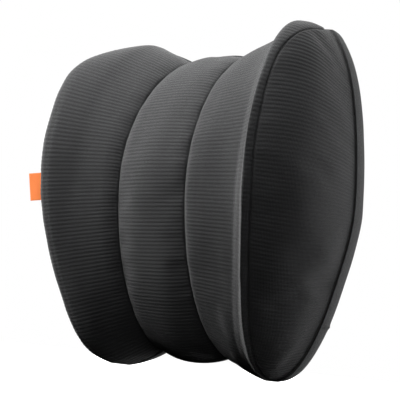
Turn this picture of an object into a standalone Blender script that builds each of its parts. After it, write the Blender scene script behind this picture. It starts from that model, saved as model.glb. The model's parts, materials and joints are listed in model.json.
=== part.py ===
"""Butterfly-shaped lumbar support cushion.

The cushion stands upright: +X is to the right of someone looking at its front, the
front faces -Y, the flat back faces +Y and +Z is up. A foam core sits in a thin liner
inside a cover sewn from three front panels, two side panels and two back panels that
meet at a zip. An elastic strap with a ring and a slider lies across the back.
"""
import math

import bmesh
import bpy
import numpy as np
from mathutils import Matrix, Vector

# Overall size
HEIGHT = 0.380
WIDTH = 0.408

# Layers, counted inwards from the cover's outer face
COVER_THICKNESS = 0.0030
LINER_THICKNESS = 0.0008
CLEARANCE = 0.0003
LAYER_GAP = 0.0006
SEAM_GAP = 0.0003

# Rounded edge between the front and side panels and the flat back
EDGE_DEPTH = 0.0274
EDGE_INSET = 0.0190

# How far each seam and the centre line stand forward of the rounded edge
CENTRE_BULGE = 0.1060
SEAM_BULGE = 0.0984
NOSE_BULGE = 0.1194
SIDE_SWELL = 0.0225
SEAM_POWER = 1.83
NOSE_POWER = 1.75
TIP_POWER = 1.70

# Outline seen from the front: shares of the half width at bottom, middle and top
HALF_WIDTH = 0.5 * WIDTH
FRONT_SEAM_X = (0.250 * HALF_WIDTH, 0.254 * HALF_WIDTH, 0.218 * HALF_WIDTH)
NOSE_SEAM_X = (0.576 * HALF_WIDTH, 0.808 * HALF_WIDTH, 0.696 * HALF_WIDTH)
TIP_WIDTH = 0.0120

# Heights at bottom, widest point and top
CENTRE_Z = (0.0117, 0.555 * HEIGHT, HEIGHT - 0.0185)
SEAM_Z = (0.0212, 0.555 * HEIGHT, HEIGHT - 0.0259)
NOSE_Z = (0.0, 0.600 * HEIGHT, HEIGHT)
TIP_Z = (0.0015, 0.479 * HEIGHT, HEIGHT - 0.0015)

# Relief of a wing panel between its two seams: puff, steep flank and rolled nose
CREST = (0.0040, 0.24, 0.16)
FLANK = (0.50, 0.90)
NOSE_ROLL = (0.0120, 0.87, 0.085)
TOP_PUFF = 0.011
WING_RISE = 1.67

# Slit in the liner behind the zip
LINER_SLIT = 0.1700
SLIT_WIDTH = 0.0060

# Zip low on the back
ZIP_Z = 0.0620
ZIP_LENGTH = 0.2800
TAPE_WIDTH = 0.0114
TAPE_THICKNESS = 0.0008
FOOT_THICKNESS = 0.0007
TAPE_DEPTH = COVER_THICKNESS - FOOT_THICKNESS - CLEARANCE - TAPE_THICKNESS
COIL_WIDTH = 0.0022
COIL_HEIGHT = 0.0014
ZIP_SPLIT = 0.0006
STOP_LENGTH = 0.0030
SLIDER_LENGTH = 0.0120
SLIDER_WIDTH = 0.0100
PLATE_THICKNESS = 0.0010
POST_THICKNESS = 0.0006
BRIDGE_WIDTH = 0.0018
PULL_THICKNESS = 0.0012
PULL_LENGTH = 0.0300
PULL_WIDTH = 0.0080

# Strap across the back
STRAP_Z = 0.2350
STRAP_WIDTH = 0.0380
STRAP_THICKNESS = 0.0012
STRAP_MARGIN = 0.0340
STRAP_REACH = HALF_WIDTH - STRAP_MARGIN
RING_TAB_RUN = 0.0720
RING_PITCH = 0.0120
RING_RADIUS = 0.0012
SEWN_END = 0.0200
STEP_RUN = 0.0080
GLIDE_LENGTH = 0.0260
GLIDE_BAR = 0.0030
GLIDE_LOWER = 0.0013
GLIDE_UPPER = 0.0016
GLIDE_RAIL = 0.0022
GLIDE_X = -0.1000
PATCH_THICKNESS = 0.0010

# Tag sewn at the left nose seam
TAG_HEIGHT = 0.0320
TAG_REACH = 0.0120
TAG_THICKNESS = 0.0010
TAG_ROW = 0.452
TAG_LEAN = 0.5

# Sewing thread in the front seams
THREAD_RADIUS = 0.0004
THREAD_LIFT = 0.0012

# Mesh density
ROWS = 24
CENTRE_COLUMNS = 4
SIDE_COLUMNS = 5
EDGE_RINGS = 4
WING_STEPS = (0.0, 0.14, 0.28, 0.42, 0.55, 0.66, 0.76, 0.83, 0.89, 0.95, 1.0)


def arch(s, power):
    """Height of a superellipse over its base at s, from -1 to 1."""
    return np.clip(1.0 - np.abs(s) ** power, 0.0, None) ** (1.0 / power)


def hump(u, shape):
    """Bell-shaped relief (height, centre, spread) at u."""
    height, centre, spread = shape
    return height * np.exp(-((u - centre) / spread) ** 2)


def step(u, ends):
    """Smooth step from 0 to 1 between two ends."""
    t = min(1.0, max(0.0, (u - ends[0]) / (ends[1] - ends[0])))
    return t * t * (3.0 - 2.0 * t)


def blend(s, ends):
    """Value along a station: (bottom, middle, top) joined by a parabola each way."""
    bottom, middle, top = ends
    return middle + np.where(s > 0, top - middle, bottom - middle) * s ** 2


def rise(s, ends):
    """Height along a station: (bottom, middle, top) joined by straight runs in s."""
    bottom, middle, top = ends
    return middle + np.where(s > 0, top - middle, middle - bottom) * s


def half_front():
    """Columns of the right half of the front, from the centre line to the back edge."""
    s = np.sin(np.linspace(-0.5 * math.pi, 0.5 * math.pi, ROWS + 1))
    depth = -EDGE_DEPTH - SEAM_BULGE * arch(s, SEAM_POWER)
    seam = np.stack([blend(s, FRONT_SEAM_X), depth, rise(s, SEAM_Z)], -1)
    depth = -EDGE_DEPTH - CENTRE_BULGE * arch(s, SEAM_POWER)
    centre = np.stack([0 * s, depth, rise(s, CENTRE_Z)], -1)
    depth = -EDGE_DEPTH - NOSE_BULGE * arch(s, NOSE_POWER)
    nose = np.stack([blend(s, NOSE_SEAM_X), depth, rise(s, NOSE_Z)], -1)
    ends = np.where(s > 0, NOSE_SEAM_X[2], NOSE_SEAM_X[0]) + TIP_WIDTH
    across = ends + (HALF_WIDTH - ends) * arch(s, TIP_POWER)
    back = np.stack([across, 0 * s - EDGE_DEPTH, rise(s, TIP_Z)], -1)
    outward = np.stack([0 * s, -np.sqrt(1.0 - s ** 2), s], -1)
    fade = arch(s, 3.2)
    columns = []
    for u in np.linspace(0.0, 1.0, CENTRE_COLUMNS + 1)[:-1]:
        column = seam + (centre - seam) * (1.0 - u ** 2.2)
        column[:, 0] = seam[:, 0] * u
        columns.append(column)
    for u in WING_STEPS[:-1]:
        column = seam + (nose - seam) * u
        column[:, 1] = seam[:, 1] + (nose[:, 1] - seam[:, 1]) * step(u, FLANK)
        lift = 1.0 - (1.0 - u) ** WING_RISE
        column[:, 2] = seam[:, 2] + (nose[:, 2] - seam[:, 2]) * lift
        relief = hump(u, CREST) + hump(u, NOSE_ROLL)
        relief *= min(1.0, 12.0 * u) * min(1.0, 12.0 * (1.0 - u))
        puff = np.where(s > 0, TOP_PUFF, 0.0) * math.sin(math.pi * u)
        columns.append(column + outward * (relief * fade + puff * (1.0 - fade))[:, None])
    run = back - nose
    across = np.stack([run[:, 1], -run[:, 0], 0 * s], -1)
    across = across / np.linalg.norm(across, axis=1, keepdims=True)
    for u in np.linspace(0.0, 1.0, SIDE_COLUMNS + 1)[:-1]:
        swell = SIDE_SWELL * math.sin(math.pi * u) * arch(s, 2.0)
        columns.append(nose + run * u + across * swell[:, None])
    columns.append(back)
    return np.stack(columns, 1)


def rim_loop(rows, columns):
    """Grid indices round the outline, anticlockwise seen from the front."""
    loop = [(0, j) for j in range(columns)]
    loop += [(i, columns - 1) for i in range(1, rows)]
    loop += [(rows - 1, j) for j in range(columns - 2, -1, -1)]
    loop += [(i, 0) for i in range(rows - 2, 0, -1)]
    return loop


def edge_rings(rim):
    """Loops of the rounded edge, from the outline to the flat back."""
    along = np.roll(rim, -1, axis=0) - np.roll(rim, 1, axis=0)
    inward = np.stack([-along[:, 2], 0 * along[:, 0], along[:, 0]], -1)
    for _ in range(3):
        inward = inward / np.linalg.norm(inward, axis=1, keepdims=True)
        inward = np.roll(inward, 1, axis=0) + inward + np.roll(inward, -1, axis=0)
    inward = inward / np.linalg.norm(inward, axis=1, keepdims=True)
    rings = []
    for turn in np.linspace(0.0, 0.5 * math.pi, EDGE_RINGS + 1)[1:]:
        ring = rim + inward * EDGE_INSET * (1.0 - math.cos(turn))
        ring[:, 1] = EDGE_DEPTH * (math.sin(turn) - 1.0)
        rings.append(ring)
    return rings


class Shell:
    """Closed outer surface of the cushion, with an outward direction at each point."""

    def __init__(self):
        right = half_front()
        left = right[:, :0:-1] * np.array([-1.0, 1.0, 1.0])
        front = np.concatenate([left, right], axis=1)
        rows, columns = front.shape[:2]
        self.rows = rows
        self.columns = columns
        self.loop = rim_loop(rows, columns)
        rim = np.array([front[i, j] for i, j in self.loop])
        rings = edge_rings(rim)
        self.points = np.concatenate([front.reshape(-1, 3)] + rings)
        self.centre = columns // 2
        self.seam = CENTRE_COLUMNS
        self.nose = self.seam + len(WING_STEPS) - 1
        self.rings = []
        self.rings.append([i * columns + j for i, j in self.loop])
        start = rows * columns
        for k in range(len(rings)):
            self.rings.append(list(range(start, start + len(self.loop))))
            start += len(self.loop)
        self.shift = Vector((0.0, 0.0, 0.0))
        self.outward = self.directions()

    def index(self, row, column):
        """Point number of a front grid position, column counted from the centre."""
        return row * self.columns + self.centre + column

    def front_quads(self, first, last):
        """Quads of the front between two columns."""
        quads = []
        for i in range(self.rows - 1):
            for j in range(first, last):
                quads.append((self.index(i, j), self.index(i, j + 1),
                              self.index(i + 1, j + 1), self.index(i + 1, j)))
        return quads

    def edge_quads(self):
        """Quads of the rounded edge."""
        quads = []
        count = len(self.loop)
        for outer, inner in zip(self.rings[:-1], self.rings[1:]):
            for k in range(count):
                n = (k + 1) % count
                quads.append((outer[n], outer[k], inner[k], inner[n]))
        return quads

    def flat_cap(self):
        """The flat back as one face inside the last loop."""
        return [tuple(reversed(self.rings[-1]))]

    def directions(self):
        """Outward unit directions: mean of the faces round each point."""
        total = np.zeros_like(self.points)
        half = self.centre
        for quad in self.front_quads(-half, half) + self.edge_quads():
            a, b, c, d = (self.points[k] for k in quad)
            normal = np.cross(c - a, d - b)
            normal = normal / max(np.linalg.norm(normal), 1e-12)
            for k in quad:
                total[k] += normal
        total[self.rings[-1]] = (0.0, 1.0, 0.0)
        return total / np.linalg.norm(total, axis=1, keepdims=True)

    def at(self, depth):
        """All points moved inwards by a depth."""
        return self.points - self.outward * depth


def material(name, colour, roughness, metallic=0.0):
    """Principled material of one plain colour."""
    shade = bpy.data.materials.new(name)
    shade.use_nodes = True
    base = shade.node_tree.nodes["Principled BSDF"]
    base.inputs["Base Color"].default_value = (*colour, 1.0)
    base.inputs["Roughness"].default_value = roughness
    base.inputs["Metallic"].default_value = metallic
    shade.diffuse_color = (*colour, 1.0)
    return shade


def add_object(name, form, shade, pivot=(0.0, 0.0, 0.0), smooth=True):
    """Named object from a bmesh drawn in world coordinates, with its origin at pivot."""
    form.transform(Matrix.Translation(-Vector(pivot)))
    for face in form.faces:
        face.smooth = smooth
    mesh = bpy.data.meshes.new(name)
    form.to_mesh(mesh)
    form.free()
    if smooth:
        mesh.set_sharp_from_angle(angle=math.radians(40.0))
    mesh.materials.append(shade)
    item = bpy.data.objects.new(name, mesh)
    item.location = pivot
    bpy.context.scene.collection.objects.link(item)
    return item


def pull_back(points, quads, amount):
    """Points of a patch with its border drawn in along the surface by an amount."""
    count = {}
    for quad in quads:
        for a, b in zip(quad, quad[1:] + quad[:1]):
            key = (min(a, b), max(a, b))
            count[key] = count.get(key, 0) + 1
    border = [key for key, uses in count.items() if uses == 1]
    neighbours = {}
    for a, b in border:
        neighbours.setdefault(a, set()).add(b)
        neighbours.setdefault(b, set()).add(a)
    moved = {}
    for quad in quads:
        for n, k in enumerate(quad):
            if k not in neighbours:
                continue
            before = quad[n - 1]
            after = quad[(n + 1) % 4]
            pull = moved.setdefault(k, np.zeros(3))
            for other in (before, after):
                if other not in neighbours[k]:
                    step = points[other] - points[k]
                    pull += step / np.linalg.norm(step)
    result = points.copy()
    for k, pull in moved.items():
        if np.linalg.norm(pull) < 1e-9:
            for other in neighbours[k]:
                step = points[other] - points[k]
                pull = pull + step / np.linalg.norm(step)
        result[k] += pull / np.linalg.norm(pull) * amount
    return result


def halves(quads):
    """Each quad as two triangles split the same way, so that layers stay parallel."""
    return [(a, b, c) for a, b, c, d in quads] + [(a, c, d) for a, b, c, d in quads]


def layer(form, shell, quads, caps, near, far, gap):
    """Solid sheet of the shell between two depths, drawn back by gap at its border."""
    faces = halves(quads) + caps
    used = sorted({k for face in faces for k in face})
    surfaces = []
    for depth in (near, far):
        points = shell.at(depth)
        if gap > 0.0:
            points = pull_back(points, quads, gap)
        points = points + np.array(shell.shift)
        surfaces.append({k: form.verts.new(points[k]) for k in used})
    outer, inner = surfaces
    edges = {}
    for face in faces:
        form.faces.new([outer[k] for k in face])
        form.faces.new([inner[k] for k in reversed(face)])
        for a, b in zip(face, face[1:] + face[:1]):
            if (b, a) in edges:
                del edges[(b, a)]
            else:
                edges[(a, b)] = True
    for a, b in edges:
        form.faces.new([outer[b], outer[a], inner[a], inner[b]])


def front_panel(name, shell, first, last, shade):
    """Front or side panel of the cover between two columns."""
    form = bmesh.new()
    quads = shell.front_quads(first, last)
    layer(form, shell, quads, [], 0.0, COVER_THICKNESS, 0.5 * SEAM_GAP)
    return add_object(name, form, shade)


def box(form, low, high):
    """Box between two corners."""
    low = Vector(low)
    high = Vector(high)
    place = Matrix.Translation((low + high) / 2.0)
    place = place @ Matrix.Diagonal((*(high - low), 1.0))
    bmesh.ops.create_cube(form, size=1.0, matrix=place)


def cutter(name, low, high):
    """Hidden box used only to cut another object."""
    form = bmesh.new()
    box(form, low, high)
    mesh = bpy.data.meshes.new(name)
    form.to_mesh(mesh)
    form.free()
    item = bpy.data.objects.new(name, mesh)
    item.hide_render = True
    item.display_type = "WIRE"
    bpy.context.scene.collection.objects.link(item)
    return item


def join(item, tool, operation):
    """Cut a hidden box from an object, or add it to the object."""
    change = item.modifiers.new(operation.lower(), "BOOLEAN")
    change.operation = operation
    change.solver = "EXACT"
    change.object = tool


def back_panel(name, shell, keep_upper, shade):
    """Back panel above or below the zip line, with its rounded edge."""
    form = bmesh.new()
    layer(form, shell, shell.edge_quads(), shell.flat_cap(), 0.0, COVER_THICKNESS,
          0.5 * SEAM_GAP)
    side = 1.0 if keep_upper else -1.0
    level = ZIP_Z + shell.shift.z + side * 0.5 * SEAM_GAP
    everything = form.verts[:] + form.edges[:] + form.faces[:]
    result = bmesh.ops.bisect_plane(form, geom=everything, dist=1e-6,
                                    plane_co=(0.0, 0.0, level),
                                    plane_no=(0.0, 0.0, -side), clear_outer=True)
    rim = [e for e in result["geom_cut"] if isinstance(e, bmesh.types.BMEdge)]
    bmesh.ops.triangle_fill(form, edges=rim, use_beauty=True)
    bmesh.ops.triangulate(form, faces=[f for f in form.faces if len(f.verts) > 4])
    bmesh.ops.recalc_face_normals(form, faces=form.faces[:])
    return add_object(name, form, shade)


def sweep(form, path, radius, sides, closed):
    """Round tube along a path of points."""
    count = len(path)
    loops = []
    lift = None
    for k in range(count):
        if closed:
            along = path[(k + 1) % count] - path[k - 1]
        else:
            along = path[min(k + 1, count - 1)] - path[max(k - 1, 0)]
        along = along.normalized()
        if lift is None:
            lift = along.orthogonal()
        lift = (lift - along * lift.dot(along)).normalized()
        other = along.cross(lift)
        loop = []
        for n in range(sides):
            turn = 2.0 * math.pi * n / sides
            offset = lift * math.cos(turn) + other * math.sin(turn)
            loop.append(form.verts.new(path[k] + offset * radius))
        loops.append(loop)
    pairs = list(zip(loops[:-1], loops[1:]))
    if closed:
        pairs.append((loops[-1], loops[0]))
    for first, second in pairs:
        for n in range(sides):
            m = (n + 1) % sides
            form.faces.new([first[n], first[m], second[m], second[n]])
    if not closed:
        form.faces.new(loops[0][::-1])
        form.faces.new(loops[-1])
    bmesh.ops.recalc_face_normals(form, faces=form.faces[:])


def ribbon(form, line, thickness, low, high):
    """Strip of one thickness that follows a line in X and Y, from low to high in Z."""
    near = []
    far = []
    for k, point in enumerate(line):
        before = (point - line[max(k - 1, 0)]).normalized()
        after = (line[min(k + 1, len(line) - 1)] - point).normalized()
        along = (before + after).normalized()
        side = Vector((-along.y, along.x))
        reach = 0.5 * thickness / max(0.5, math.sqrt(0.5 * (1.0 + before.dot(after))))
        if k in (0, len(line) - 1):
            reach = 0.5 * thickness
        near.append(point + side * reach)
        far.append(point - side * reach)
    outline = near + far[::-1]
    bottom = [form.verts.new((p.x, p.y, low)) for p in outline]
    top = [form.verts.new((p.x, p.y, high)) for p in outline]
    count = len(outline)
    half = len(line)
    for k in range(count):
        n = (k + 1) % count
        form.faces.new([bottom[k], bottom[n], top[n], top[k]])
    for k in range(half - 1):
        a, b, c, d = k, k + 1, count - 2 - k, count - 1 - k
        form.faces.new([top[a], top[b], top[c], top[d]])
        form.faces.new([bottom[d], bottom[c], bottom[b], bottom[a]])
    bmesh.ops.recalc_face_normals(form, faces=form.faces[:])


def cover(shell, shade):
    """Seven sewn panels of the cover."""
    seam = shell.seam
    nose = shell.nose
    edge = shell.centre
    front_panel("cover_centre", shell, -seam, seam, shade)
    front_panel("cover_wing_left", shell, -nose, -seam, shade)
    front_panel("cover_wing_right", shell, seam, nose, shade)
    front_panel("cover_side_left", shell, -edge, -nose, shade)
    front_panel("cover_side_right", shell, nose, edge, shade)
    upper = back_panel("cover_back_upper", shell, True, shade)
    lower = back_panel("cover_back_lower", shell, False, shade)
    half = 0.5 * ZIP_LENGTH + CLEARANCE
    reach = ZIP_SPLIT + TAPE_WIDTH + CLEARANCE
    level = ZIP_Z + shell.shift.z
    face = shell.shift.y
    tool = cutter("zip_opening", (-half, face - 2.0 * COVER_THICKNESS, level - reach),
                  (half, face + COVER_THICKNESS, level + reach))
    join(upper, tool, "DIFFERENCE")
    join(lower, tool, "DIFFERENCE")


def slit(form, back, reach, low, high):
    """Slot through both layers of the flat back, where y is beyond back."""
    for axis, place in ((0, -reach), (0, reach), (2, low), (2, high)):
        normal = Vector((0.0, 0.0, 0.0))
        normal[axis] = 1.0
        flat = flat_faces(form, back)
        edges = {e for f in flat for e in f.edges}
        verts = {v for f in flat for v in f.verts}
        bmesh.ops.bisect_plane(form, geom=[*flat, *edges, *verts], dist=1e-7,
                               plane_co=normal * place, plane_no=normal)
    middle = []
    for face in flat_faces(form, back):
        centre = face.calc_center_median()
        if abs(centre.x) < reach and low < centre.z < high:
            middle.append(face)
    rims = list({e for f in middle for e in f.edges})
    bmesh.ops.delete(form, geom=middle, context="FACES_ONLY")
    bmesh.ops.bridge_loops(form, edges=rims)
    bmesh.ops.recalc_face_normals(form, faces=form.faces[:])


def flat_faces(form, back):
    """Faces that lie flat at one depth beyond back."""
    found = []
    for face in form.faces:
        depths = [v.co.y for v in face.verts]
        if min(depths) > back and max(depths) - min(depths) < 1e-7:
            found.append(face)
    return found


def filling(shell, liner_shade, foam_shade):
    """Thin liner with a slit behind the zip, and the foam core inside it."""
    edge = shell.centre
    quads = shell.front_quads(-edge, edge) + shell.edge_quads()
    cap = shell.flat_cap()
    near = COVER_THICKNESS + LAYER_GAP
    far = near + LINER_THICKNESS
    form = bmesh.new()
    layer(form, shell, quads, cap, near, far, 0.0)
    level = ZIP_Z + shell.shift.z
    slit(form, shell.shift.y - 2.0 * far, LINER_SLIT / 2.0,
         level - SLIT_WIDTH / 2.0, level + SLIT_WIDTH / 2.0)
    bmesh.ops.triangulate(form, faces=[f for f in form.faces if len(f.verts) > 4])
    add_object("inner_liner", form, liner_shade)
    form = bmesh.new()
    points = shell.at(far + LAYER_GAP) + np.array(shell.shift)
    verts = [form.verts.new(p) for p in points]
    for face in halves(quads) + cap:
        form.faces.new([verts[k] for k in face])
    bmesh.ops.triangulate(form, faces=[f for f in form.faces if len(f.verts) > 4])
    add_object("foam_core", form, foam_shade)


def zip_parts(shell, tape_shade, coil_shade, metal):
    """Tapes, coils, stops, slider and pull of the zip."""
    level = ZIP_Z + shell.shift.z
    face = shell.shift.y
    half = 0.5 * ZIP_LENGTH
    tape_top = face - TAPE_DEPTH
    tape_base = tape_top - TAPE_THICKNESS
    coil_base = tape_top + CLEARANCE
    coil_top = coil_base + COIL_HEIGHT
    coil_half = half - STOP_LENGTH - 4.0 * CLEARANCE
    for name, side in (("upper", 1.0), ("lower", -1.0)):
        form = bmesh.new()
        ends = sorted((level + side * ZIP_SPLIT, level + side * (ZIP_SPLIT + TAPE_WIDTH)))
        box(form, (-half, tape_base, ends[0]), (half, tape_top, ends[1]))
        add_object("zip_tape_" + name, form, tape_shade, smooth=False)
        form = bmesh.new()
        middle = level + side * (ZIP_SPLIT + 0.5 * COIL_WIDTH)
        section = []
        for n in range(9):
            turn = math.pi * n / 8
            section.append((coil_base + COIL_HEIGHT * math.sin(turn),
                            middle + 0.5 * COIL_WIDTH * math.cos(turn)))
        first = [form.verts.new((-coil_half, y, z)) for y, z in section]
        second = [form.verts.new((coil_half, y, z)) for y, z in section]
        for n in range(len(section)):
            m = (n + 1) % len(section)
            form.faces.new([first[n], first[m], second[m], second[n]])
        form.faces.new(first[::-1])
        form.faces.new(second)
        bmesh.ops.recalc_face_normals(form, faces=form.faces[:])
        add_object("zip_coil_" + name, form, coil_shade)
    outer = half - 2.0 * CLEARANCE
    reach = ZIP_SPLIT + COIL_WIDTH + CLEARANCE
    for name, side in (("closed", 1.0), ("open", -1.0)):
        form = bmesh.new()
        ends = sorted((side * outer, side * (outer - STOP_LENGTH)))
        box(form, (ends[0], coil_base, level - reach),
            (ends[1], coil_top + CLEARANCE, level + reach))
        add_object("zip_stop_" + name, form, metal, smooth=False)
    slider(shell, level, coil_half, tape_base, coil_base, coil_top, metal)


def union(name, boxes, shade, pivot):
    """One solid made of several overlapping boxes."""
    first = bmesh.new()
    box(first, *boxes[0])
    item = add_object(name, first, shade, pivot, smooth=False)
    for n, (low, high) in enumerate(boxes[1:]):
        tool = cutter(name + "_add_" + str(n), low, high)
        join(item, tool, "UNION")
    return item


def slider(shell, level, coil_half, tape_base, coil_base, coil_top, metal):
    """Zip slider threaded between the tapes, with its swinging pull."""
    centre = coil_half - 0.5 * SLIDER_LENGTH - 0.0020
    plate_base = coil_top + CLEARANCE
    plate_top = plate_base + PLATE_THICKNESS
    foot_top = tape_base - CLEARANCE
    foot_base = foot_top - FOOT_THICKNESS
    half = 0.5 * SLIDER_LENGTH
    flange = ZIP_SPLIT + COIL_WIDTH + CLEARANCE
    wide = 0.5 * SLIDER_WIDTH
    post = 0.5 * POST_THICKNESS
    axle_radius = 0.5 * PULL_THICKNESS
    axle_y = plate_top + CLEARANCE + axle_radius
    bridge_base = axle_y + axle_radius + CLEARANCE
    bridge_top = bridge_base + PLATE_THICKNESS
    bridge = 0.5 * BRIDGE_WIDTH
    leg = 0.0012
    bury = 0.0004
    boxes = [
        ((centre - half, plate_base, level - wide), (centre + half, plate_top, level + wide)),
        ((centre - half, coil_base, level + flange),
         (centre + half, plate_base + bury, level + wide)),
        ((centre - half, coil_base, level - wide),
         (centre + half, plate_base + bury, level - flange)),
        ((centre + 0.5 * half, foot_top - bury, level - post),
         (centre + half - bury, plate_base + bury, level + post)),
        ((centre - half, foot_base, level - 0.9 * wide),
         (centre + half, foot_top, level + 0.9 * wide)),
        ((centre - 0.7 * half, plate_top - bury, level - bridge),
         (centre - 0.7 * half + leg, bridge_top - bury, level + bridge)),
        ((centre + 0.7 * half - leg, plate_top - bury, level - bridge),
         (centre + 0.7 * half, bridge_top - bury, level + bridge)),
        ((centre - 0.7 * half - bury, bridge_base, level - 1.1 * bridge),
         (centre + 0.7 * half + bury, bridge_top, level + 1.1 * bridge)),
    ]
    union("zip_slider", boxes, metal, (centre, plate_top, level))
    arm_in = 1.1 * bridge + CLEARANCE
    arm_out = 0.5 * PULL_WIDTH
    low = axle_y - axle_radius
    high = axle_y + axle_radius
    root = 0.8 * half
    boxes = [
        ((centre - PULL_LENGTH, low, level - arm_out),
         (centre - root - 0.0010, high, level + arm_out)),
        ((centre - root - 0.0014, low, level + arm_in),
         (centre + axle_radius, high, level + arm_in + 0.0014)),
        ((centre - root - 0.0014, low, level - arm_in - 0.0014),
         (centre + axle_radius, high, level - arm_in)),
        ((centre - axle_radius, low, level - arm_in - bury),
         (centre + 0.9 * axle_radius, high - 0.0001, level + arm_in + bury)),
    ]
    union("zip_pull", boxes, metal, (centre, axle_y, level))


def fold(centre, radius, facing):
    """Half turn of a ribbon's middle line round a bar, from under it to over it."""
    points = []
    for n in range(7):
        turn = math.pi * n / 6 - 0.5 * math.pi
        points.append(centre + Vector((facing * math.cos(turn), math.sin(turn))) * radius)
    return points


def strap(shell, web_shade, plastic):
    """Elastic strap, ring, ring tab, sewn patches and slider across the back."""
    level = STRAP_Z + shell.shift.z
    face = shell.shift.y
    low = level - 0.5 * STRAP_WIDTH
    high = level + 0.5 * STRAP_WIDTH
    middle = 0.5 * STRAP_THICKNESS
    flat = face + CLEARANCE + middle
    raised = face + CLEARANCE + GLIDE_LOWER + CLEARANCE + middle
    second = flat + STRAP_THICKNESS + CLEARANCE
    turn = RING_RADIUS + 2.0 * CLEARANCE + middle
    bar = flat + turn
    over = bar + turn
    sewn = STRAP_REACH - SEWN_END
    ring_x = STRAP_REACH - RING_TAB_RUN
    loop_run = 2.0 * STEP_RUN
    line = [Vector((-STRAP_REACH, flat)), Vector((-sewn, flat)),
            Vector((-sewn + STEP_RUN, raised)),
            Vector((ring_x - loop_run - 3.0 * STEP_RUN, raised)),
            Vector((ring_x - loop_run - 2.0 * STEP_RUN, flat))]
    line += fold(Vector((ring_x, bar)), turn, 1.0)
    line += [Vector((ring_x - STEP_RUN, over)), Vector((ring_x - loop_run, second)),
             Vector((ring_x - loop_run - 1.5 * STEP_RUN, second))]
    form = bmesh.new()
    ribbon(form, line, STRAP_THICKNESS, low, high)
    add_object("strap_web", form, web_shade)
    tab_x = ring_x + RING_PITCH
    line = [Vector((STRAP_REACH, flat))]
    line += fold(Vector((tab_x, bar)), turn, -1.0)
    line += [Vector((tab_x + STEP_RUN, over)), Vector((tab_x + loop_run, second)),
             Vector((tab_x + loop_run + STEP_RUN, second))]
    form = bmesh.new()
    ribbon(form, line, STRAP_THICKNESS, low, high)
    add_object("strap_ring_tab", form, web_shade)
    form = bmesh.new()
    wide = 0.5 * RING_PITCH
    tall = 0.5 * STRAP_WIDTH + 2.0 * CLEARANCE + RING_RADIUS
    corner = 0.0025
    path = []
    corners = ((1, -1), (1, 1), (-1, 1), (-1, -1))
    for n, (across, up) in enumerate(corners):
        for k in range(4):
            angle = 0.5 * math.pi * (n - 1) + 0.5 * math.pi * k / 3
            x = ring_x + wide + across * (wide - corner) + corner * math.cos(angle)
            z = level + up * (tall - corner) + corner * math.sin(angle)
            path.append(Vector((x, bar, z)))
    sweep(form, path, RING_RADIUS, 10, True)
    add_object("strap_ring", form, plastic)
    for name, side in (("left", -1.0), ("right", 1.0)):
        ends = sorted((side * (STRAP_REACH + 0.0020), side * (sewn + 0.0005)))
        form = bmesh.new()
        base = flat + middle + CLEARANCE
        box(form, (ends[0], base, low - 0.0020),
            (ends[1], base + PATCH_THICKNESS, high + 0.0020))
        add_object("strap_patch_" + name, form, web_shade, smooth=False)
    glide(level, face, raised, plastic)


def glide(level, face, raised, plastic):
    """Three-bar slider that the strap is threaded through."""
    base = face + CLEARANCE
    under = base + GLIDE_LOWER
    over = raised + 0.5 * STRAP_THICKNESS + CLEARANCE
    top = over + GLIDE_UPPER
    inner = 0.5 * STRAP_WIDTH + CLEARANCE
    outer = inner + GLIDE_RAIL
    half = 0.5 * GLIDE_LENGTH
    bury = 0.0005
    boxes = [
        ((GLIDE_X - half, base, level + inner), (GLIDE_X + half, top, level + outer)),
        ((GLIDE_X - 0.5 * GLIDE_BAR, base + 0.0001, level - inner - bury),
         (GLIDE_X + 0.5 * GLIDE_BAR, under, level + inner + bury)),
        ((GLIDE_X - half + 0.0001, over, level - inner - bury),
         (GLIDE_X - half + GLIDE_BAR, top - 0.0001, level + inner + bury)),
        ((GLIDE_X + half - GLIDE_BAR, over, level - inner - bury),
         (GLIDE_X + half - 0.0001, top - 0.0001, level + inner + bury)),
        ((GLIDE_X - half, base, level - outer), (GLIDE_X + half, top, level - inner)),
    ]
    union("strap_glide", boxes, plastic, (GLIDE_X, base, level))


def seam_thread(name, shell, column, shade):
    """Thread lying in a front seam from near the bottom edge to near the top edge."""
    path = []
    for row in range(1, shell.rows - 1):
        k = shell.index(row, column)
        point = shell.points[k] + shell.outward[k] * THREAD_LIFT
        path.append(Vector(point) + shell.shift)
    form = bmesh.new()
    sweep(form, path, THREAD_RADIUS, 6, False)
    add_object(name, form, shade)


def tag(shell, shade):
    """Small folded tag standing out of the left nose seam."""
    row, part = divmod(TAG_ROW * (shell.rows - 1), 1.0)
    k = shell.index(int(row), -shell.nose)
    below = Vector(shell.points[k]) + shell.shift
    above = Vector(shell.points[shell.index(int(row) + 1, -shell.nose)]) + shell.shift
    root = below.lerp(above, part)
    up = (above - below).normalized()
    out = Vector(shell.outward[k]) + Vector((-TAG_LEAN, 0.0, 0.0))
    out = (out - up * out.dot(up)).normalized()
    side = up.cross(out)
    frame = Matrix((out, side, up)).transposed().to_4x4()
    lift = THREAD_LIFT + THREAD_RADIUS + CLEARANCE
    form = bmesh.new()
    box(form, (lift, -0.5 * TAG_THICKNESS, -0.5 * TAG_HEIGHT),
        (lift + TAG_REACH, 0.5 * TAG_THICKNESS, 0.5 * TAG_HEIGHT))
    form.transform(Matrix.Translation(root) @ frame)
    add_object("side_tag", form, shade, smooth=False)


def strap_top():
    """Height of the strap's highest layer over the back face."""
    turn = RING_RADIUS + 2.0 * CLEARANCE + 0.5 * STRAP_THICKNESS
    return CLEARANCE + STRAP_THICKNESS + 2.0 * turn


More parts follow.
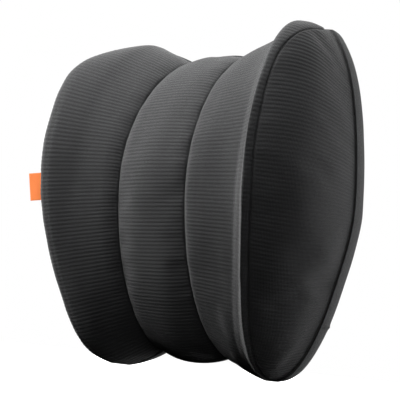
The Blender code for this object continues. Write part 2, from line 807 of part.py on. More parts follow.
def build():
    """Build every part of the cushion."""
    for item in list(bpy.data.objects):
        bpy.data.objects.remove(item, do_unlink=True)
    knit = material("cover_knit", (0.030, 0.030, 0.032), 0.92)
    liner = material("liner_jersey", (0.75, 0.74, 0.72), 0.95)
    foam = material("memory_foam", (0.86, 0.82, 0.70), 0.95)
    tape = material("zip_tape_weave", (0.020, 0.020, 0.021), 0.85)
    coil = material("zip_coil_nylon", (0.018, 0.018, 0.019), 0.45)
    metal = material("zip_metal", (0.10, 0.10, 0.11), 0.35, 1.0)
    web = material("strap_elastic", (0.022, 0.022, 0.023), 0.90)
    plastic = material("strap_plastic", (0.015, 0.015, 0.016), 0.40)
    orange = material("tag_weave", (0.90, 0.25, 0.06), 0.80)
    thread = material("seam_thread", (0.016, 0.016, 0.017), 0.80)
    shell = Shell()
    front = shell.points[:, 1].min()
    bottom = shell.points[:, 2].min()
    shell.shift = Vector((0.0, -0.5 * (front + strap_top()), -bottom))
    cover(shell, knit)
    filling(shell, liner, foam)
    zip_parts(shell, tape, coil, metal)
    strap(shell, web, plastic)
    seam_thread("thread_centre_left", shell, -shell.seam, thread)
    seam_thread("thread_centre_right", shell, shell.seam, thread)
    seam_thread("thread_nose_left", shell, -shell.nose, thread)
    seam_thread("thread_nose_right", shell, shell.nose, thread)
    tag(shell, orange)


build()
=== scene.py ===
"""Lumbar support cushion: cloth, seams, zip, strap and a studio round the packed frame."""

import json
import math

import bmesh
import bpy
import numpy as np
from mathutils import Matrix, Vector

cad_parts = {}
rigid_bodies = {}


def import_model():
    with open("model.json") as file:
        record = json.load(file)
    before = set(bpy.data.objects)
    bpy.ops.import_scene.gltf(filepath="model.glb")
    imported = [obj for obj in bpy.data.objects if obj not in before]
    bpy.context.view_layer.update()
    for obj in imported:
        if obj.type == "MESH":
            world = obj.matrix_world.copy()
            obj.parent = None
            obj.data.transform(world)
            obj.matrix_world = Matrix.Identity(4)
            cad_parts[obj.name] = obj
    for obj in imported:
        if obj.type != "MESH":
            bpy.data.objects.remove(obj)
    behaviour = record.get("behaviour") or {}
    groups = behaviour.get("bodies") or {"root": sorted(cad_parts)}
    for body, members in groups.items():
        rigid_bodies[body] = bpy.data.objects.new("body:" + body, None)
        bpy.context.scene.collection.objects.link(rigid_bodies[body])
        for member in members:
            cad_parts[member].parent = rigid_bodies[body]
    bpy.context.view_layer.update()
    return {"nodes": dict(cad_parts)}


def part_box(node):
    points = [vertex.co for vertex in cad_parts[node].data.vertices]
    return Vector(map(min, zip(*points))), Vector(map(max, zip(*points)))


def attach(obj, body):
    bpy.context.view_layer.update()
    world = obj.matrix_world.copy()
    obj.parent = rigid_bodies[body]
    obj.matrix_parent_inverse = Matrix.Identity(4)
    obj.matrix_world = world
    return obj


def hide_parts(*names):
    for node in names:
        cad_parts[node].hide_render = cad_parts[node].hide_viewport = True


bl_info = {
    "name": "Lumbar Support Cushion",
    "version": (1, 0, 0),
    "blender": (4, 5, 0),
    "location": "3D View > Sidebar > Cushion",
    "description": "Builds the padded cover, seams, zip and strap of a lumbar cushion",
    "category": "Object",
}

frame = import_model()

# Where the outline stands in the frame
BACK_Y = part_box("cover_back_upper")[1].y
LIFT_Z = 0.001172
SHIFT = np.array([0.0, BACK_Y, LIFT_Z])

# Outline of the cushion, in metres
HALF_WIDTH = 0.204
EDGE_DEPTH = 0.0274
EDGE_INSET = 0.0190
CENTRE_BULGE = 0.1060
SEAM_BULGE = 0.0984
NOSE_BULGE = 0.1194
SIDE_SWELL = 0.0225
SEAM_POWER = 1.83
NOSE_POWER = 1.75
TIP_POWER = 1.70
FRONT_SEAM_X = (0.0510, 0.051816, 0.044472)
NOSE_SEAM_X = (0.117504, 0.164832, 0.141984)
TIP_WIDTH = 0.0120
CENTRE_Z = (0.0117, 0.2109, 0.3615)
SEAM_Z = (0.0212, 0.2109, 0.3541)
NOSE_Z = (0.0, 0.2280, 0.3800)
TIP_Z = (0.0015, 0.18202, 0.3785)
CREST = (0.0040, 0.24, 0.16)
FLANK = (0.50, 0.90)
NOSE_ROLL = (0.0120, 0.87, 0.085)
TOP_PUFF = 0.011
WING_RISE = 1.67
WING_FADE = 3.2
RELIEF_RAMP = 12.0

# How the wings lie: (share of the panel from front seam to nose seam, rise in metres)
LEFT_WING = ((0.0, 0.0), (0.05, 0.0026), (0.15, 0.0068), (0.30, 0.0118), (0.50, 0.0180),
             (0.68, 0.0245), (0.80, 0.0290), (0.89, 0.0300), (0.95, 0.0268), (1.0, 0.0210))
RIGHT_WING = ((0.0, 0.0), (0.06, 0.0012), (0.25, 0.0022), (0.45, 0.0020), (0.66, 0.0024),
              (0.78, 0.0085), (0.87, 0.0205), (0.93, 0.0268), (1.0, 0.0210))
CORNER_TOP = ((0.0150, 41.0, 21.0), (0.0200, 53.0, 26.0))
CORNER_BOTTOM = ((0.0115, -64.0, 20.0), (0.0050, -60.0, 20.0))
CORNER_REACH = ((0.40, 1.0), (0.50, 0.84))
CORNER_LEAN = (0.60, 0.35)
TOP_EASE = 0.0105
SHOULDER_EASE = (0.0040, 72.0, 20.0)
SIDE_EASE = 0.56
WAIST_EASE = 0.0050
CREST_SOFTNESS = 0.0085
CREST_RUN = 0.100
CREST_TOP = (15.0, 50.0)
CREST_BOTTOM = (45.0, 70.0)
CREST_BOTTOM_SHARE = 0.8
CREST_SPREAD = 0.30
SEAM_BACK = (0.44, 74.0, 21.0)

# Rows of points round the back edge, as shares of a quarter turn
EDGE_TURNS = (0.001, 0.035, 0.075, 0.13, 0.21, 0.32, 0.45, 0.6, 0.78, 1.0)

# Back panels: cuts round the zip, rolled edges and soft hollows
ZIP_LINE_GAP = 0.00015
CUT_GAPS = (0.0, 0.0012, 0.0026, 0.0048)
ROLL = (0.0012, 0.0019)
SOFT_RIM = (0.004, 0.12)
HOLLOW_RATE = 26.0
FLAT_RAMP = (-0.012, -0.001)
ZIP_RIPPLE = (0.00035, 0.012)
RIPPLE_RATES = (120.0, 20.0)
ZIP_STITCH_GAP = 0.0045
ZIP_STITCH_PAST = 0.004
ZIP_STITCH_SINK = 0.0004

# Surface of the ribbed cover: depths and reaches in metres, rates in swings per metre
RIB_SHARPNESS = 1.2
RIB_FADE = 0.0012
RIB_UNEVEN = (0.16, 22.0)
RIB_DRIFT = (0.10, 9.0, 30.0)
PUCKER_PITCH = 0.0032
PUCKER_SHARES = (0.22, 0.25)
WRINKLE = (0.0016, 14.0, 12.0)
WRINKLE_RAMP = 0.030
SEAM_CREASE = (0.0007, 2.0, 60.0)
CREASE_REACH = (0.004, 0.016)
PLAIN_RAMP = (-0.004, 0.002)
PLAIN_SHARE = 0.94
SIDE_PLAIN = (0.45, 0.55)
WALL_RAMP = 0.004

# How the liner and the foam give way under the cover
FRONT_RAMP = (-0.002, 0.030)
SLIM = 0.0045
SLIM_LEAST = 0.3
DROP = 0.0035
DROP_RAMP = (0.312, 0.350)
NARROW = 0.0085
NARROW_RAMP = (0.10, 0.17)
NARROW_BELOW = (-0.02, 0.08)
NARROW_ABOVE = (0.26, 0.32)

# Back hardware
ZIP_LEVEL = 0.5 * (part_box("zip_coil_upper")[0].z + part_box("zip_coil_lower")[1].z)
ZIP_HALF = 0.1403
ZIP_REACH = 0.0123
STRAP_LEVEL = 0.5 * (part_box("strap_web")[0].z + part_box("strap_web")[1].z)
STRAP_WIDTH = 0.0380
STRAP_THICKNESS = 0.0012
CLEARANCE = 0.0003

# Studio
TARGET_IN = 0.070
TARGET_Z = 0.191172
SENSOR_WIDTH = 36.0
LENS_SHIFT = (0.0367, -0.0035)
CLIP_RANGE = (0.05, 60.0)
FLOOR_RADIUS = 9.0
FLOOR_DROP = 0.0003
AIM_Z = 0.19
LAMP_DISTANCE = 1.7

NEAR_EDGE = 1e-7
HELD = 1e-6
RIM_ANGLE = 0.9


# ---------------------------------------------------------------- properties

def length(name, text, default):
    """Length property in metres."""
    return bpy.props.FloatProperty(name=name, description=text, default=default,
                                   min=0.0, precision=5, unit="LENGTH")


def tint(name, text, default):
    """Colour property."""
    return bpy.props.FloatVectorProperty(name=name, description=text, default=default,
                                         min=0.0, max=1.0, size=3, subtype="COLOR")


def share(name, text, default):
    """Property from 0 to 1."""
    return bpy.props.FloatProperty(name=name, description=text, default=default,
                                   min=0.0, max=1.0, subtype="FACTOR")


def angle(name, text, default):
    """Angle property, its default given in degrees."""
    return bpy.props.FloatProperty(name=name, description=text, subtype="ANGLE",
                                   default=math.radians(default))


def watts(name, text, default):
    """Power of a light."""
    return bpy.props.FloatProperty(name=name, description=text, default=default, min=0.0)


class CoverSizes(bpy.types.PropertyGroup):
    """Corded knit cover."""

    rib_pitch: length("Rib pitch", "Distance from one knitted rib to the next", 0.0042)
    rib_height: length("Rib height", "How far a rib stands over its groove", 0.00030)
    wall: length("Fabric thickness", "Thickness of the padded knit", 0.0022)
    seam_depth: length("Seam depth", "How deep a panel rolls into its seam", 0.0008)
    seam_width: length("Seam width", "How far from the seam the roll reaches", 0.0008)
    slack: length("Slack", "How far a panel starts inside its shape", 0.0030)
    swell_limit: length("Swell limit", "Most that stuffing moves a point", 0.0042)
    pressure: bpy.props.FloatProperty(name="Stuffing pressure", default=4.0, min=0.0,
                                      description="Pressure of the stuffing on the cloth")
    dark: tint("Dark yarn", "Colour of the darker yarn", (0.0215, 0.0218, 0.0228))
    light: tint("Light yarn", "Colour of the lighter yarn", (0.047, 0.0475, 0.049))


class BackSizes(bpy.types.PropertyGroup):
    """Smooth fabric of the back and the rounded edge."""

    wall: length("Fabric thickness", "Thickness of the back fabric", 0.0022)
    weave_pitch: length("Weave pitch", "Distance between yarns", 0.0009)
    pucker: length("Pucker", "Depth of the soft hollows in the back", 0.0007)
    dark: tint("Dark yarn", "Colour of the darker yarn", (0.027, 0.0273, 0.0283))
    light: tint("Light yarn", "Colour of the lighter yarn", (0.052, 0.0525, 0.054))


class SeamSizes(bpy.types.PropertyGroup):
    """Sewing thread."""

    pitch: length("Stitch pitch", "Distance from one stitch to the next", 0.0026)
    stitch: length("Stitch length", "Length of a stitch that shows", 0.0017)
    radius: length("Thread radius", "Radius of the sewing thread", 0.00038)
    sink: length("Sink", "How deep the stitches lie in their seam", 0.0005)
    colour: tint("Thread colour", "Colour of the sewing thread", (0.010, 0.010, 0.0105))


class ZipSizes(bpy.types.PropertyGroup):
    """Coil zip."""

    turn: length("Coil pitch", "Distance from one coil turn to the next", 0.0014)
    wire: length("Coil wire", "Radius of the coil's nylon wire", 0.00030)
    tape: tint("Tape colour", "Colour of the woven tape", (0.016, 0.016, 0.017))
    nylon: tint("Coil colour", "Colour of the nylon coil", (0.014, 0.014, 0.015))
    metal: tint("Metal colour", "Colour of slider, pull and stops", (0.16, 0.16, 0.17))


class StrapSizes(bpy.types.PropertyGroup):
    """Elastic strap, ring and glide."""

    cord_pitch: length("Cord pitch", "Distance between the elastic's cords", 0.0024)
    cord_height: length("Cord height", "Height of the elastic's cords", 0.00010)
    rounding: length("Rounding", "Radius on the moulded edges", 0.00055)
    web: tint("Elastic colour", "Colour of the elastic", (0.019, 0.019, 0.020))
    plastic: tint("Plastic colour", "Colour of ring and glide", (0.013, 0.013, 0.014))


class TagSizes(bpy.types.PropertyGroup):
    """Folded woven tag."""

    thickness: length("Thickness", "Thickness of the folded tag", 0.0010)
    root: length("Sewn in", "How far the tag runs into the seam", 0.0024)
    curl: length("Curl", "How far the tag bends out of flat", 0.0007)
    colour: tint("Tag colour", "Colour of the woven tag", (0.90, 0.24, 0.070))
    # painted glow: strength of the tag's constant emission
    painted_glow: share("Dye glow", "How strongly the fluorescent dye glows", 0.65)


class StageSizes(bpy.types.PropertyGroup):
    """Studio round the cushion."""

    lens: bpy.props.FloatProperty(name="Lens", description="Focal length", default=122.67,
                                  min=1.0, subtype="DISTANCE_CAMERA")
    distance: length("Camera distance", "From the target to the camera", 1.528)
    azimuth: angle("Azimuth", "Camera's turn round the cushion", 44.695)
    elevation: angle("Elevation", "Camera's height angle", -6.628)
    roll: angle("Roll", "Camera's roll", 6.038)
    key: watts("Key light", "Key light in watts", 94.0)
    rim: watts("Rim light", "Rim light in watts", 52.0)
    fill: watts("Room light", "Room light in watts", 7.0)
    back: watts("Back light", "Back light in watts", 18.0)


# ------------------------------------------------------------- outline maths

def arch(s, power):
    """Height of a superellipse over its base at s, from -1 to 1."""
    return np.clip(1.0 - np.abs(s) ** power, 0.0, None) ** (1.0 / power)


def hump(u, shape):
    """Bell-shaped relief (height, centre, spread) at u."""
    height, centre, spread = shape
    return height * np.exp(-((u - centre) / spread) ** 2)


def smooth_step(u, ends):
    """Smooth step from 0 to 1 between two ends."""
    t = np.clip((u - ends[0]) / (ends[1] - ends[0]), 0.0, 1.0)
    return t * t * (3.0 - 2.0 * t)


def parabola(s, ends):
    """Value along a station: (bottom, middle, top) joined by a parabola each way."""
    bottom, middle, top = ends
    return middle + np.where(s > 0, top - middle, bottom - middle) * s ** 2


def rise(s, ends):
    """Height along a station: (bottom, middle, top) joined by straight runs in s."""
    bottom, middle, top = ends
    return middle + np.where(s > 0, top - middle, middle - bottom) * s


def outward_rows(s):
    """Directions up and forward that follow the front's curve from bottom to top."""
    return np.stack([0 * s, -np.sqrt(np.clip(1.0 - s ** 2, 0.0, None)), s], -1)


def turn_of(s):
    """Angle of a row from the middle, in degrees."""
    return np.degrees(np.arcsin(np.clip(s, -1.0, 1.0)))


def relief_of(u):
    """Soft crest and rolled nose of a wing's cut shape, none at its seams."""
    relief = hump(u, CREST) + hump(u, NOSE_ROLL)
    return relief * np.clip(RELIEF_RAMP * u, 0, 1) * np.clip(RELIEF_RAMP * (1.0 - u), 0, 1)


def tip_fade(s):
    """Fade to nothing at the very ends of the panels."""
    return np.clip(1.0 - np.abs(s) ** 16, 0.0, 1.0) ** 0.5


def stations(s):
    """Front seam, centre line, nose seam and back edge of the right half."""
    front = -EDGE_DEPTH - SEAM_BULGE * arch(s, SEAM_POWER)
    seam = np.stack([parabola(s, FRONT_SEAM_X), front, rise(s, SEAM_Z)], -1)
    front = -EDGE_DEPTH - CENTRE_BULGE * arch(s, SEAM_POWER)
    centre = np.stack([0 * s, front, rise(s, CENTRE_Z)], -1)
    front = -EDGE_DEPTH - NOSE_BULGE * arch(s, NOSE_POWER)
    nose = np.stack([parabola(s, NOSE_SEAM_X), front, rise(s, NOSE_Z)], -1)
    tips = np.where(s > 0, NOSE_SEAM_X[2], NOSE_SEAM_X[0]) + TIP_WIDTH
    across = tips + (HALF_WIDTH - tips) * arch(s, TIP_POWER)
    across = across - WAIST_EASE * smooth_step(-s, (0.0, 0.5))
    across = across - hump(turn_of(s), SHOULDER_EASE)
    edge = np.stack([across, 0 * s - EDGE_DEPTH, rise(s, TIP_Z)], -1)
    return seam, centre, nose, edge


def centre_points(s, u):
    """Centre panel, u from -1 at the left seam to 1 at the right seam."""
    seam, centre, _, _ = stations(s)
    share_in = (1.0 - np.abs(u) ** 2.2)[None, :, None]
    points = seam[:, None] + (centre - seam)[:, None] * share_in
    points[..., 0] = seam[:, None, 0] * u[None, :]
    return points


def wing_points(s, u):
    """Right wing panel, u from 0 at the front seam to 1 at the nose seam."""
    seam, _, nose, _ = stations(s)
    outward = outward_rows(s)
    fade = arch(s, WING_FADE)[:, None]
    run = (nose - seam)[:, None]
    points = seam[:, None] + run * u[None, :, None]
    points[..., 1] = seam[:, None, 1] + run[..., 1] * smooth_step(u, FLANK)[None, :]
    lift = 1.0 - (1.0 - u) ** WING_RISE
    points[..., 2] = seam[:, None, 2] + run[..., 2] * lift[None, :]
    relief = relief_of(u)
    puff = np.where(s > 0, TOP_PUFF, 0.0)[:, None] * np.sin(math.pi * u)[None, :]
    return points + outward[:, None] * (relief[None] * fade + puff * (1 - fade))[..., None]


def side_points(s, u):
    """Right side panel, u from 0 at the nose seam to 1 at the back edge."""
    _, _, nose, edge = stations(s)
    run = edge - nose
    across = np.stack([run[:, 1], -run[:, 0], 0 * s], -1)
    across = across / np.linalg.norm(across, axis=1, keepdims=True)
    swell = SIDE_SWELL * (np.sin(math.pi * u) * (1.0 - SIDE_EASE * u ** 4))[None, :]
    swell = swell * arch(s, 2.0)[:, None]
    return nose[:, None] + run[:, None] * u[None, :, None] + across[:, None] * swell[..., None]


def eased(u, profile):
    """Smooth curve through (place, value) pairs, read at u."""
    fine = np.linspace(-0.1, 1.1, 601)
    places, values = zip(*profile)
    line = np.interp(fine, places, values)
    weights = np.exp(-np.linspace(-2.0, 2.0, 25) ** 2)
    line = np.convolve(np.pad(line, 12, mode="edge"), weights / weights.sum(), "valid")
    start, end = np.interp((0.0, 1.0), fine, line)
    rest = np.interp(u, fine, line) - start - (end - start) * u
    return rest + values[0] + (values[-1] - values[0]) * u


def lie_of(s, u, left):
    """How far a worn-in wing lies off its cut shape: gentle on the left, steep on the right."""
    cut = -(NOSE_BULGE - SEAM_BULGE) * smooth_step(u, FLANK) - relief_of(u)
    lies = np.where(left, eased(u, LEFT_WING), eased(u, RIGHT_WING))
    fade = arch(s, WING_FADE)
    ease = np.where(s > 0, TOP_EASE, 0.0) * np.sin(math.pi * u) * (1.0 - fade)
    return (cut + lies) * fade - ease


def lie_grid(s, u, left):
    """Moves from a wing's cut shape to how it lies, at rows s and columns u."""
    lie = lie_of(s[:, None] + 0 * u, u[None, :] + 0 * s[:, None], left)
    return outward_rows(s)[:, None] * lie[..., None]


def corner_set(s, share_in, left):
    """Extra fullness of the wing corners, share_in from 0 to 1 across the panel."""
    side = 0 if left else 1
    turn = turn_of(s)
    full = hump(turn, CORNER_TOP[side]) + hump(turn, CORNER_BOTTOM[side])
    full = full * tip_fade(s)
    away = unit(outward_rows(s) + np.array([CORNER_LEAN[side], 0.0, 0.0]))
    return away[:, None] * (full[:, None] * share_in[None])[..., None]


def seam_place(s):
    """Where the nose seam runs on the wing (0 to 1) and side (1 to 2) at each row."""
    share_back, middle, spread = SEAM_BACK
    return 1.0 + share_back * np.exp(-((turn_of(s) - middle) / spread) ** 2)


def wing_and_side(s, fill, left, count=160):
    """Wing and side as one surface: points, and each column's place from 0 to 2."""
    centre, wing, side = Stuffing.counts
    u = np.linspace(0.0, 1.0, count + 1)
    front = wing_points(s, u) + fill.at(s, u, centre, centre + wing, left)
    front = front + lie_grid(s, u, left)
    front = front + corner_set(s, smooth_step(u, CORNER_REACH[0 if left else 1]), left)
    flank = side_points(s, u) + fill.at(s, u, centre + wing, centre + wing + side, left)
    flank = flank + corner_set(s, 1.0 - smooth_step(u, (0.0, 1.0)), left)
    points = np.concatenate([front, flank[:, 1:]], 1)
    places = np.concatenate([u, 1.0 + u[1:]])
    reach = max(2, int(3.0 * count * CREST_SOFTNESS / CREST_RUN))
    steps = np.arange(-reach, reach + 1)
    bell = np.exp(-(steps * CREST_RUN / count / CREST_SOFTNESS) ** 2)
    padded = np.pad(points, ((0, 0), (reach, reach), (0, 0)), mode="edge")
    soft = sum(weight * padded[:, k:k + points.shape[1]]
               for k, weight in enumerate(bell / bell.sum()))
    turn = turn_of(s)
    ends = smooth_step(turn, CREST_TOP)
    ends = ends + CREST_BOTTOM_SHARE * smooth_step(-turn, CREST_BOTTOM)
    near = np.exp(-((places - 1.0) / CREST_SPREAD) ** 4)
    blend = ((ends * tip_fade(s))[:, None] * near[None])[..., None]
    return points + blend * (soft - points), places


def read_at(values, places, wanted):
    """Grid values read at each row's own places across."""
    rows = [[np.interp(want, places, line[:, k]) for k in range(3)]
            for line, want in zip(values, wanted)]
    return np.transpose(np.array(rows), (0, 2, 1))


def mirrored(points):
    """Left half from the right half, with its columns still left to right."""
    return points[:, ::-1] * np.array([-1.0, 1.0, 1.0])


def unit(vectors):
    """Vectors scaled to length 1."""
    size = np.linalg.norm(vectors, axis=-1, keepdims=True)
    return vectors / np.maximum(size, 1e-12)


def outward_of(points):
    """Outward unit directions of a grid of points, rows upward and columns to the right."""
    along = np.gradient(points, axis=0)
    across = np.gradient(points, axis=1)
    return unit(np.cross(across, along))


def run_of(points, axis):
    """Distance covered along a grid's rows or columns."""
    steps = np.linalg.norm(np.diff(points, axis=axis), axis=-1)
    pad = [(0, 0)] * steps.ndim
    pad[axis] = (1, 0)
    return np.pad(np.cumsum(steps, axis=axis), pad)


def spline_weights(count, places):
    """Matrix that reads a row of count values at fractional places, smoothly."""
    places = np.clip(places, 0.0, count - 1.0)
    first = np.clip(np.floor(places).astype(int), 0, count - 2)
    t = places - first
    parts = (-0.5 * t + t ** 2 - 0.5 * t ** 3, 1 - 2.5 * t ** 2 + 1.5 * t ** 3,
             0.5 * t + 2 * t ** 2 - 1.5 * t ** 3, -0.5 * t ** 2 + 0.5 * t ** 3)
    matrix = np.zeros((len(places), count))
    rows = np.arange(len(places))
    for offset, part in zip((-1, 0, 1, 2), parts):
        np.add.at(matrix, (rows, np.clip(first + offset, 0, count - 1)), part)
    return matrix


def wander(x, y, seed, waves=9):
    """Smooth seeded unevenness from -1 to 1, about one swing for each unit of x or y."""
    draw = np.random.default_rng(seed)
    total = np.zeros(np.broadcast(x, y).shape)
    for _ in range(waves):
        turn, phase = draw.uniform(0.0, 2.0 * math.pi, 2)
        rate = draw.uniform(2.0, 7.5)
        total += np.sin(rate * (math.cos(turn) * x + math.sin(turn) * y) + phase)
    return total / (0.75 * waves)


# ------------------------------------------------------------- mesh handling

def mesh_of(name, form):
    """Mesh made from a bmesh, which is freed."""
    mesh = bpy.data.meshes.new(name)
    form.to_mesh(mesh)
    form.free()
    return mesh


def add_piece(name, form, shade, body, replaces=()):
    """Named object at the origin from a bmesh, riding on its body."""
    return add_mesh(name, mesh_of(name, form), shade, body, replaces)


def add_mesh(name, mesh, shade, body, replaces=()):
    """Named object at the origin from a mesh, riding on its body."""
    mesh.polygons.foreach_set("use_smooth", [True] * len(mesh.polygons))
    mesh.materials.clear()
    mesh.materials.append(shade)
    piece = bpy.data.objects.new(name, mesh)
    bpy.context.scene.collection.objects.link(piece)
    if replaces:
        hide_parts(*replaces)
    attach(piece, body)
    return piece


def sheet_form(outer, inner):
    """Closed sheet between two grids of points, and each mesh point's grid number."""
    rows, columns = outer.shape[:2]
    form = bmesh.new()
    bmesh.ops.create_grid(form, x_segments=columns - 1, y_segments=rows - 1, size=1.0)
    place = form.verts.layers.int.new("place")
    top = outer.reshape(-1, 3)
    under = inner.reshape(-1, 3)
    for k, vert in enumerate(form.verts):
        vert[place] = k
        vert.co = top[k]
    grown = bmesh.ops.extrude_face_region(form, geom=form.faces[:], use_keep_orig=True)
    for vert in grown["geom"]:
        if isinstance(vert, bmesh.types.BMVert):
            vert.co = under[vert[place]]
    bmesh.ops.recalc_face_normals(form, faces=form.faces[:])
    sharpen(form)
    return form


def sharpen(form):
    """Splits the shading at a sheet's rims, so its faces stay smooth up to them."""
    for edge in form.edges:
        edge.smooth = edge.calc_face_angle(0.0) < RIM_ANGLE


def set_layers(mesh, across, along, groove):
    """UV map in metres and the groove attribute, a mask of painted shade, read from grid
    values.
    """
    place = np.zeros(len(mesh.vertices), np.int32)
    mesh.attributes["place"].data.foreach_get("value", place)
    corner = np.zeros(len(mesh.loops), np.int32)
    mesh.loops.foreach_get("vertex_index", corner)
    flat = np.stack([across.ravel(), along.ravel()], -1)[place[corner]]
    layer = mesh.uv_layers.new(name="UVMap")
    layer.data.foreach_set("uv", flat.astype(np.float32).ravel())
    depth = mesh.attributes.new("groove", "FLOAT", "POINT")
    depth.data.foreach_set("value", groove.ravel()[place].astype(np.float32))
    mesh.attributes.remove(mesh.attributes["place"])


def tube_mesh(name, paths, radius, sides, closed):
    """Mesh of round tubes along paths of points."""
    line = bpy.data.curves.new(name, "CURVE")
    line.dimensions = "3D"
    line.bevel_depth = radius
    line.bevel_resolution = sides
    line.use_fill_caps = not closed
    for path in paths:
        spline = line.splines.new("POLY")
        spline.points.add(len(path) - 1)
        flat = np.concatenate([path, np.ones((len(path), 1))], 1)
        spline.points.foreach_set("co", flat.ravel())
        spline.use_cyclic_u = closed
    holder = bpy.data.objects.new(name + "_line", line)
    bpy.context.scene.collection.objects.link(holder)
    bpy.context.view_layer.update()
    graph = bpy.context.evaluated_depsgraph_get()
    mesh = bpy.data.meshes.new_from_object(holder.evaluated_get(graph))
    bpy.data.objects.remove(holder)
    bpy.data.curves.remove(line)
    form = bmesh.new()
    form.from_mesh(mesh)
    bmesh.ops.remove_doubles(form, verts=form.verts[:], dist=NEAR_EDGE)
    bmesh.ops.recalc_face_normals(form, faces=form.faces[:])
    form.to_mesh(mesh)
    form.free()
    return mesh


def rounded_box(form, low, high, radius):
    """Box between two corners with rounded edges, added to a bmesh."""
    low, high = Vector(low), Vector(high)
    place = Matrix.Translation((low + high) / 2.0) @ Matrix.Diagonal((*(high - low), 1.0))
    made = bmesh.ops.create_cube(form, size=1.0, matrix=place)
    edges = list({e for v in made["verts"] for e in v.link_edges})
    bmesh.ops.bevel(form, geom=edges, offset=radius, offset_type="OFFSET", segments=3,
                    profile=0.5, affect="EDGES", material=-1, clamp_overlap=True)


def plate(form, outline, low, high, radius):
    """Flat plate of any outline in X and Z, from low to high in Y, with rounded rims."""
    made = bmesh.ops.create_circle(form, segments=len(outline), radius=1.0, cap_ends=True)
    for vert, (x, z) in zip(made["verts"], outline):
        vert.co = (x, low, z)
    face = made["verts"][0].link_faces[0]
    grown = bmesh.ops.extrude_face_region(form, geom=[face], use_keep_orig=True)
    verts = [g for g in grown["geom"] if isinstance(g, bmesh.types.BMVert)]
    bmesh.ops.translate(form, verts=verts, vec=(0.0, high - low, 0.0))
    faces = [g for g in grown["geom"] if isinstance(g, bmesh.types.BMFace)]
    rims = list(set(face.edges) | {e for f in faces for e in f.edges})
    bmesh.ops.recalc_face_normals(form, faces=form.faces[:])
    bmesh.ops.bevel(form, geom=rims, offset=radius, offset_type="OFFSET", segments=3,
                    profile=0.5, affect="EDGES", material=-1, clamp_overlap=True)


def oval(centre_x, centre_z, half_x, half_z, power, count, taper=0.0):
    """Rounded outline: a superellipse whose height narrows by taper towards +X."""
    points = []
    for k in range(count):
        turn = 2.0 * math.pi * k / count
        c, s = math.cos(turn), math.sin(turn)
        x = math.copysign(abs(c) ** (2.0 / power), c)
        z = math.copysign(abs(s) ** (2.0 / power), s)
        points.append((centre_x + half_x * x, centre_z + half_z * z * (1.0 - taper * x)))
    return points


def stitch_row(form, path, sizes, outward):
    """Separate stitches along a line of points, each a low bead of thread."""
    gone = run_of(path[:, None], 0)[:, 0]
    count = int(gone[-1] / sizes.pitch)
    for k in range(count):
        place = (k + 0.5) * sizes.pitch
        here = Vector([np.interp(place, gone, path[:, n]) for n in range(3)])
        ahead = Vector([np.interp(place + 0.001, gone, path[:, n]) for n in range(3)])
        up = Vector([np.interp(place, gone, outward[:, n]) for n in range(3)])
        along = (ahead - here).normalized()
        if along.length < 0.5:
            continue
        side = along.cross(up).normalized()
        up = side.cross(along)
        turn = Matrix((along, side, up)).transposed().to_4x4()
        size = Matrix.Diagonal((0.5 * sizes.stitch, sizes.radius, sizes.radius, 1.0))
        bmesh.ops.create_uvsphere(form, u_segments=6, v_segments=5, radius=1.0,
                                  matrix=Matrix.Translation(here) @ turn @ size)


# ----------------------------------------------------------------- materials

class Look:
    """Principled material that is put together from procedural nodes."""

    def __init__(self, name, **constants):
        self.shade = bpy.data.materials.new(name)
        self.shade.use_nodes = True
        self.tree = self.shade.node_tree
        self.base = self.tree.nodes["Principled BSDF"]
        for key, value in constants.items():
            self.base.inputs[key.replace("_", " ")].default_value = value

    def node(self, kind, inputs=(), **settings):
        """New node with settings, its inputs given as values or as outputs to link."""
        made = self.tree.nodes.new(kind)
        for key, value in settings.items():
            setattr(made, key, value)
        for key, value in dict(inputs).items():
            if isinstance(value, bpy.types.NodeSocket):
                self.tree.links.new(value, made.inputs[key])
            else:
                made.inputs[key].default_value = value
        return made

    def maths(self, operation, first, second=0.0):
        """Math node."""
        return self.node("ShaderNodeMath", {0: first, 1: second},
                         operation=operation).outputs[0]

    def uv(self):
        """X and Y of the UV map, in metres."""
        place = self.node("ShaderNodeUVMap", uv_map="UVMap").outputs["UV"]
        parts = self.node("ShaderNodeSeparateXYZ", {0: place})
        return parts.outputs["X"], parts.outputs["Y"]

    def place(self):
        """Object coordinates, in metres."""
        return self.node("ShaderNodeTexCoord").outputs["Object"]

    def noise(self, scale, detail=3.0, roughness=0.55):
        """Noise on object coordinates."""
        inputs = {"Vector": self.place(), "Scale": scale, "Detail": detail,
                  "Roughness": roughness}
        return self.node("ShaderNodeTexNoise", inputs).outputs["Fac"]

    def wave(self, position, pitch, shift=0.0):
        """Sine from 0 to 1 with the given pitch along a position."""
        turn = self.maths("MULTIPLY", position, 2.0 * math.pi / pitch)
        sine = self.maths("SINE", self.maths("ADD", turn, shift))
        return self.maths("MULTIPLY",
                          self.maths("ADD", sine, 1.0), 0.5)

    def blend(self, factor, first, second, mode="MIX"):
        """Colour mix of two colours or outputs."""
        mix = self.node("ShaderNodeMix", data_type="RGBA", blend_type=mode)
        for socket, value in ((mix.inputs[0], factor), (mix.inputs[6], first),
                              (mix.inputs[7], second)):
            if isinstance(value, bpy.types.NodeSocket):
                self.tree.links.new(value, socket)
            elif isinstance(value, float):
                socket.default_value = value
            else:
                socket.default_value = (*value, 1.0)
        return mix.outputs[2]

    def span(self, factor, low, high):
        """Factor from 0 to 1 spread from low to high."""
        return self.node("ShaderNodeMapRange", {"Value": factor, "To Min": low,
                                                "To Max": high}).outputs["Result"]

    def finish(self, colour, roughness, height, distance, strength=1.0):
        """Links colour, roughness and bump height, and gives the material."""
        links = self.tree.links
        links.new(colour, self.base.inputs["Base Color"])
        links.new(roughness, self.base.inputs["Roughness"])
        bump = self.node("ShaderNodeBump", {"Height": height, "Distance": distance,
                                            "Strength": strength})
        links.new(bump.outputs["Normal"], self.base.inputs["Normal"])
        return self.shade


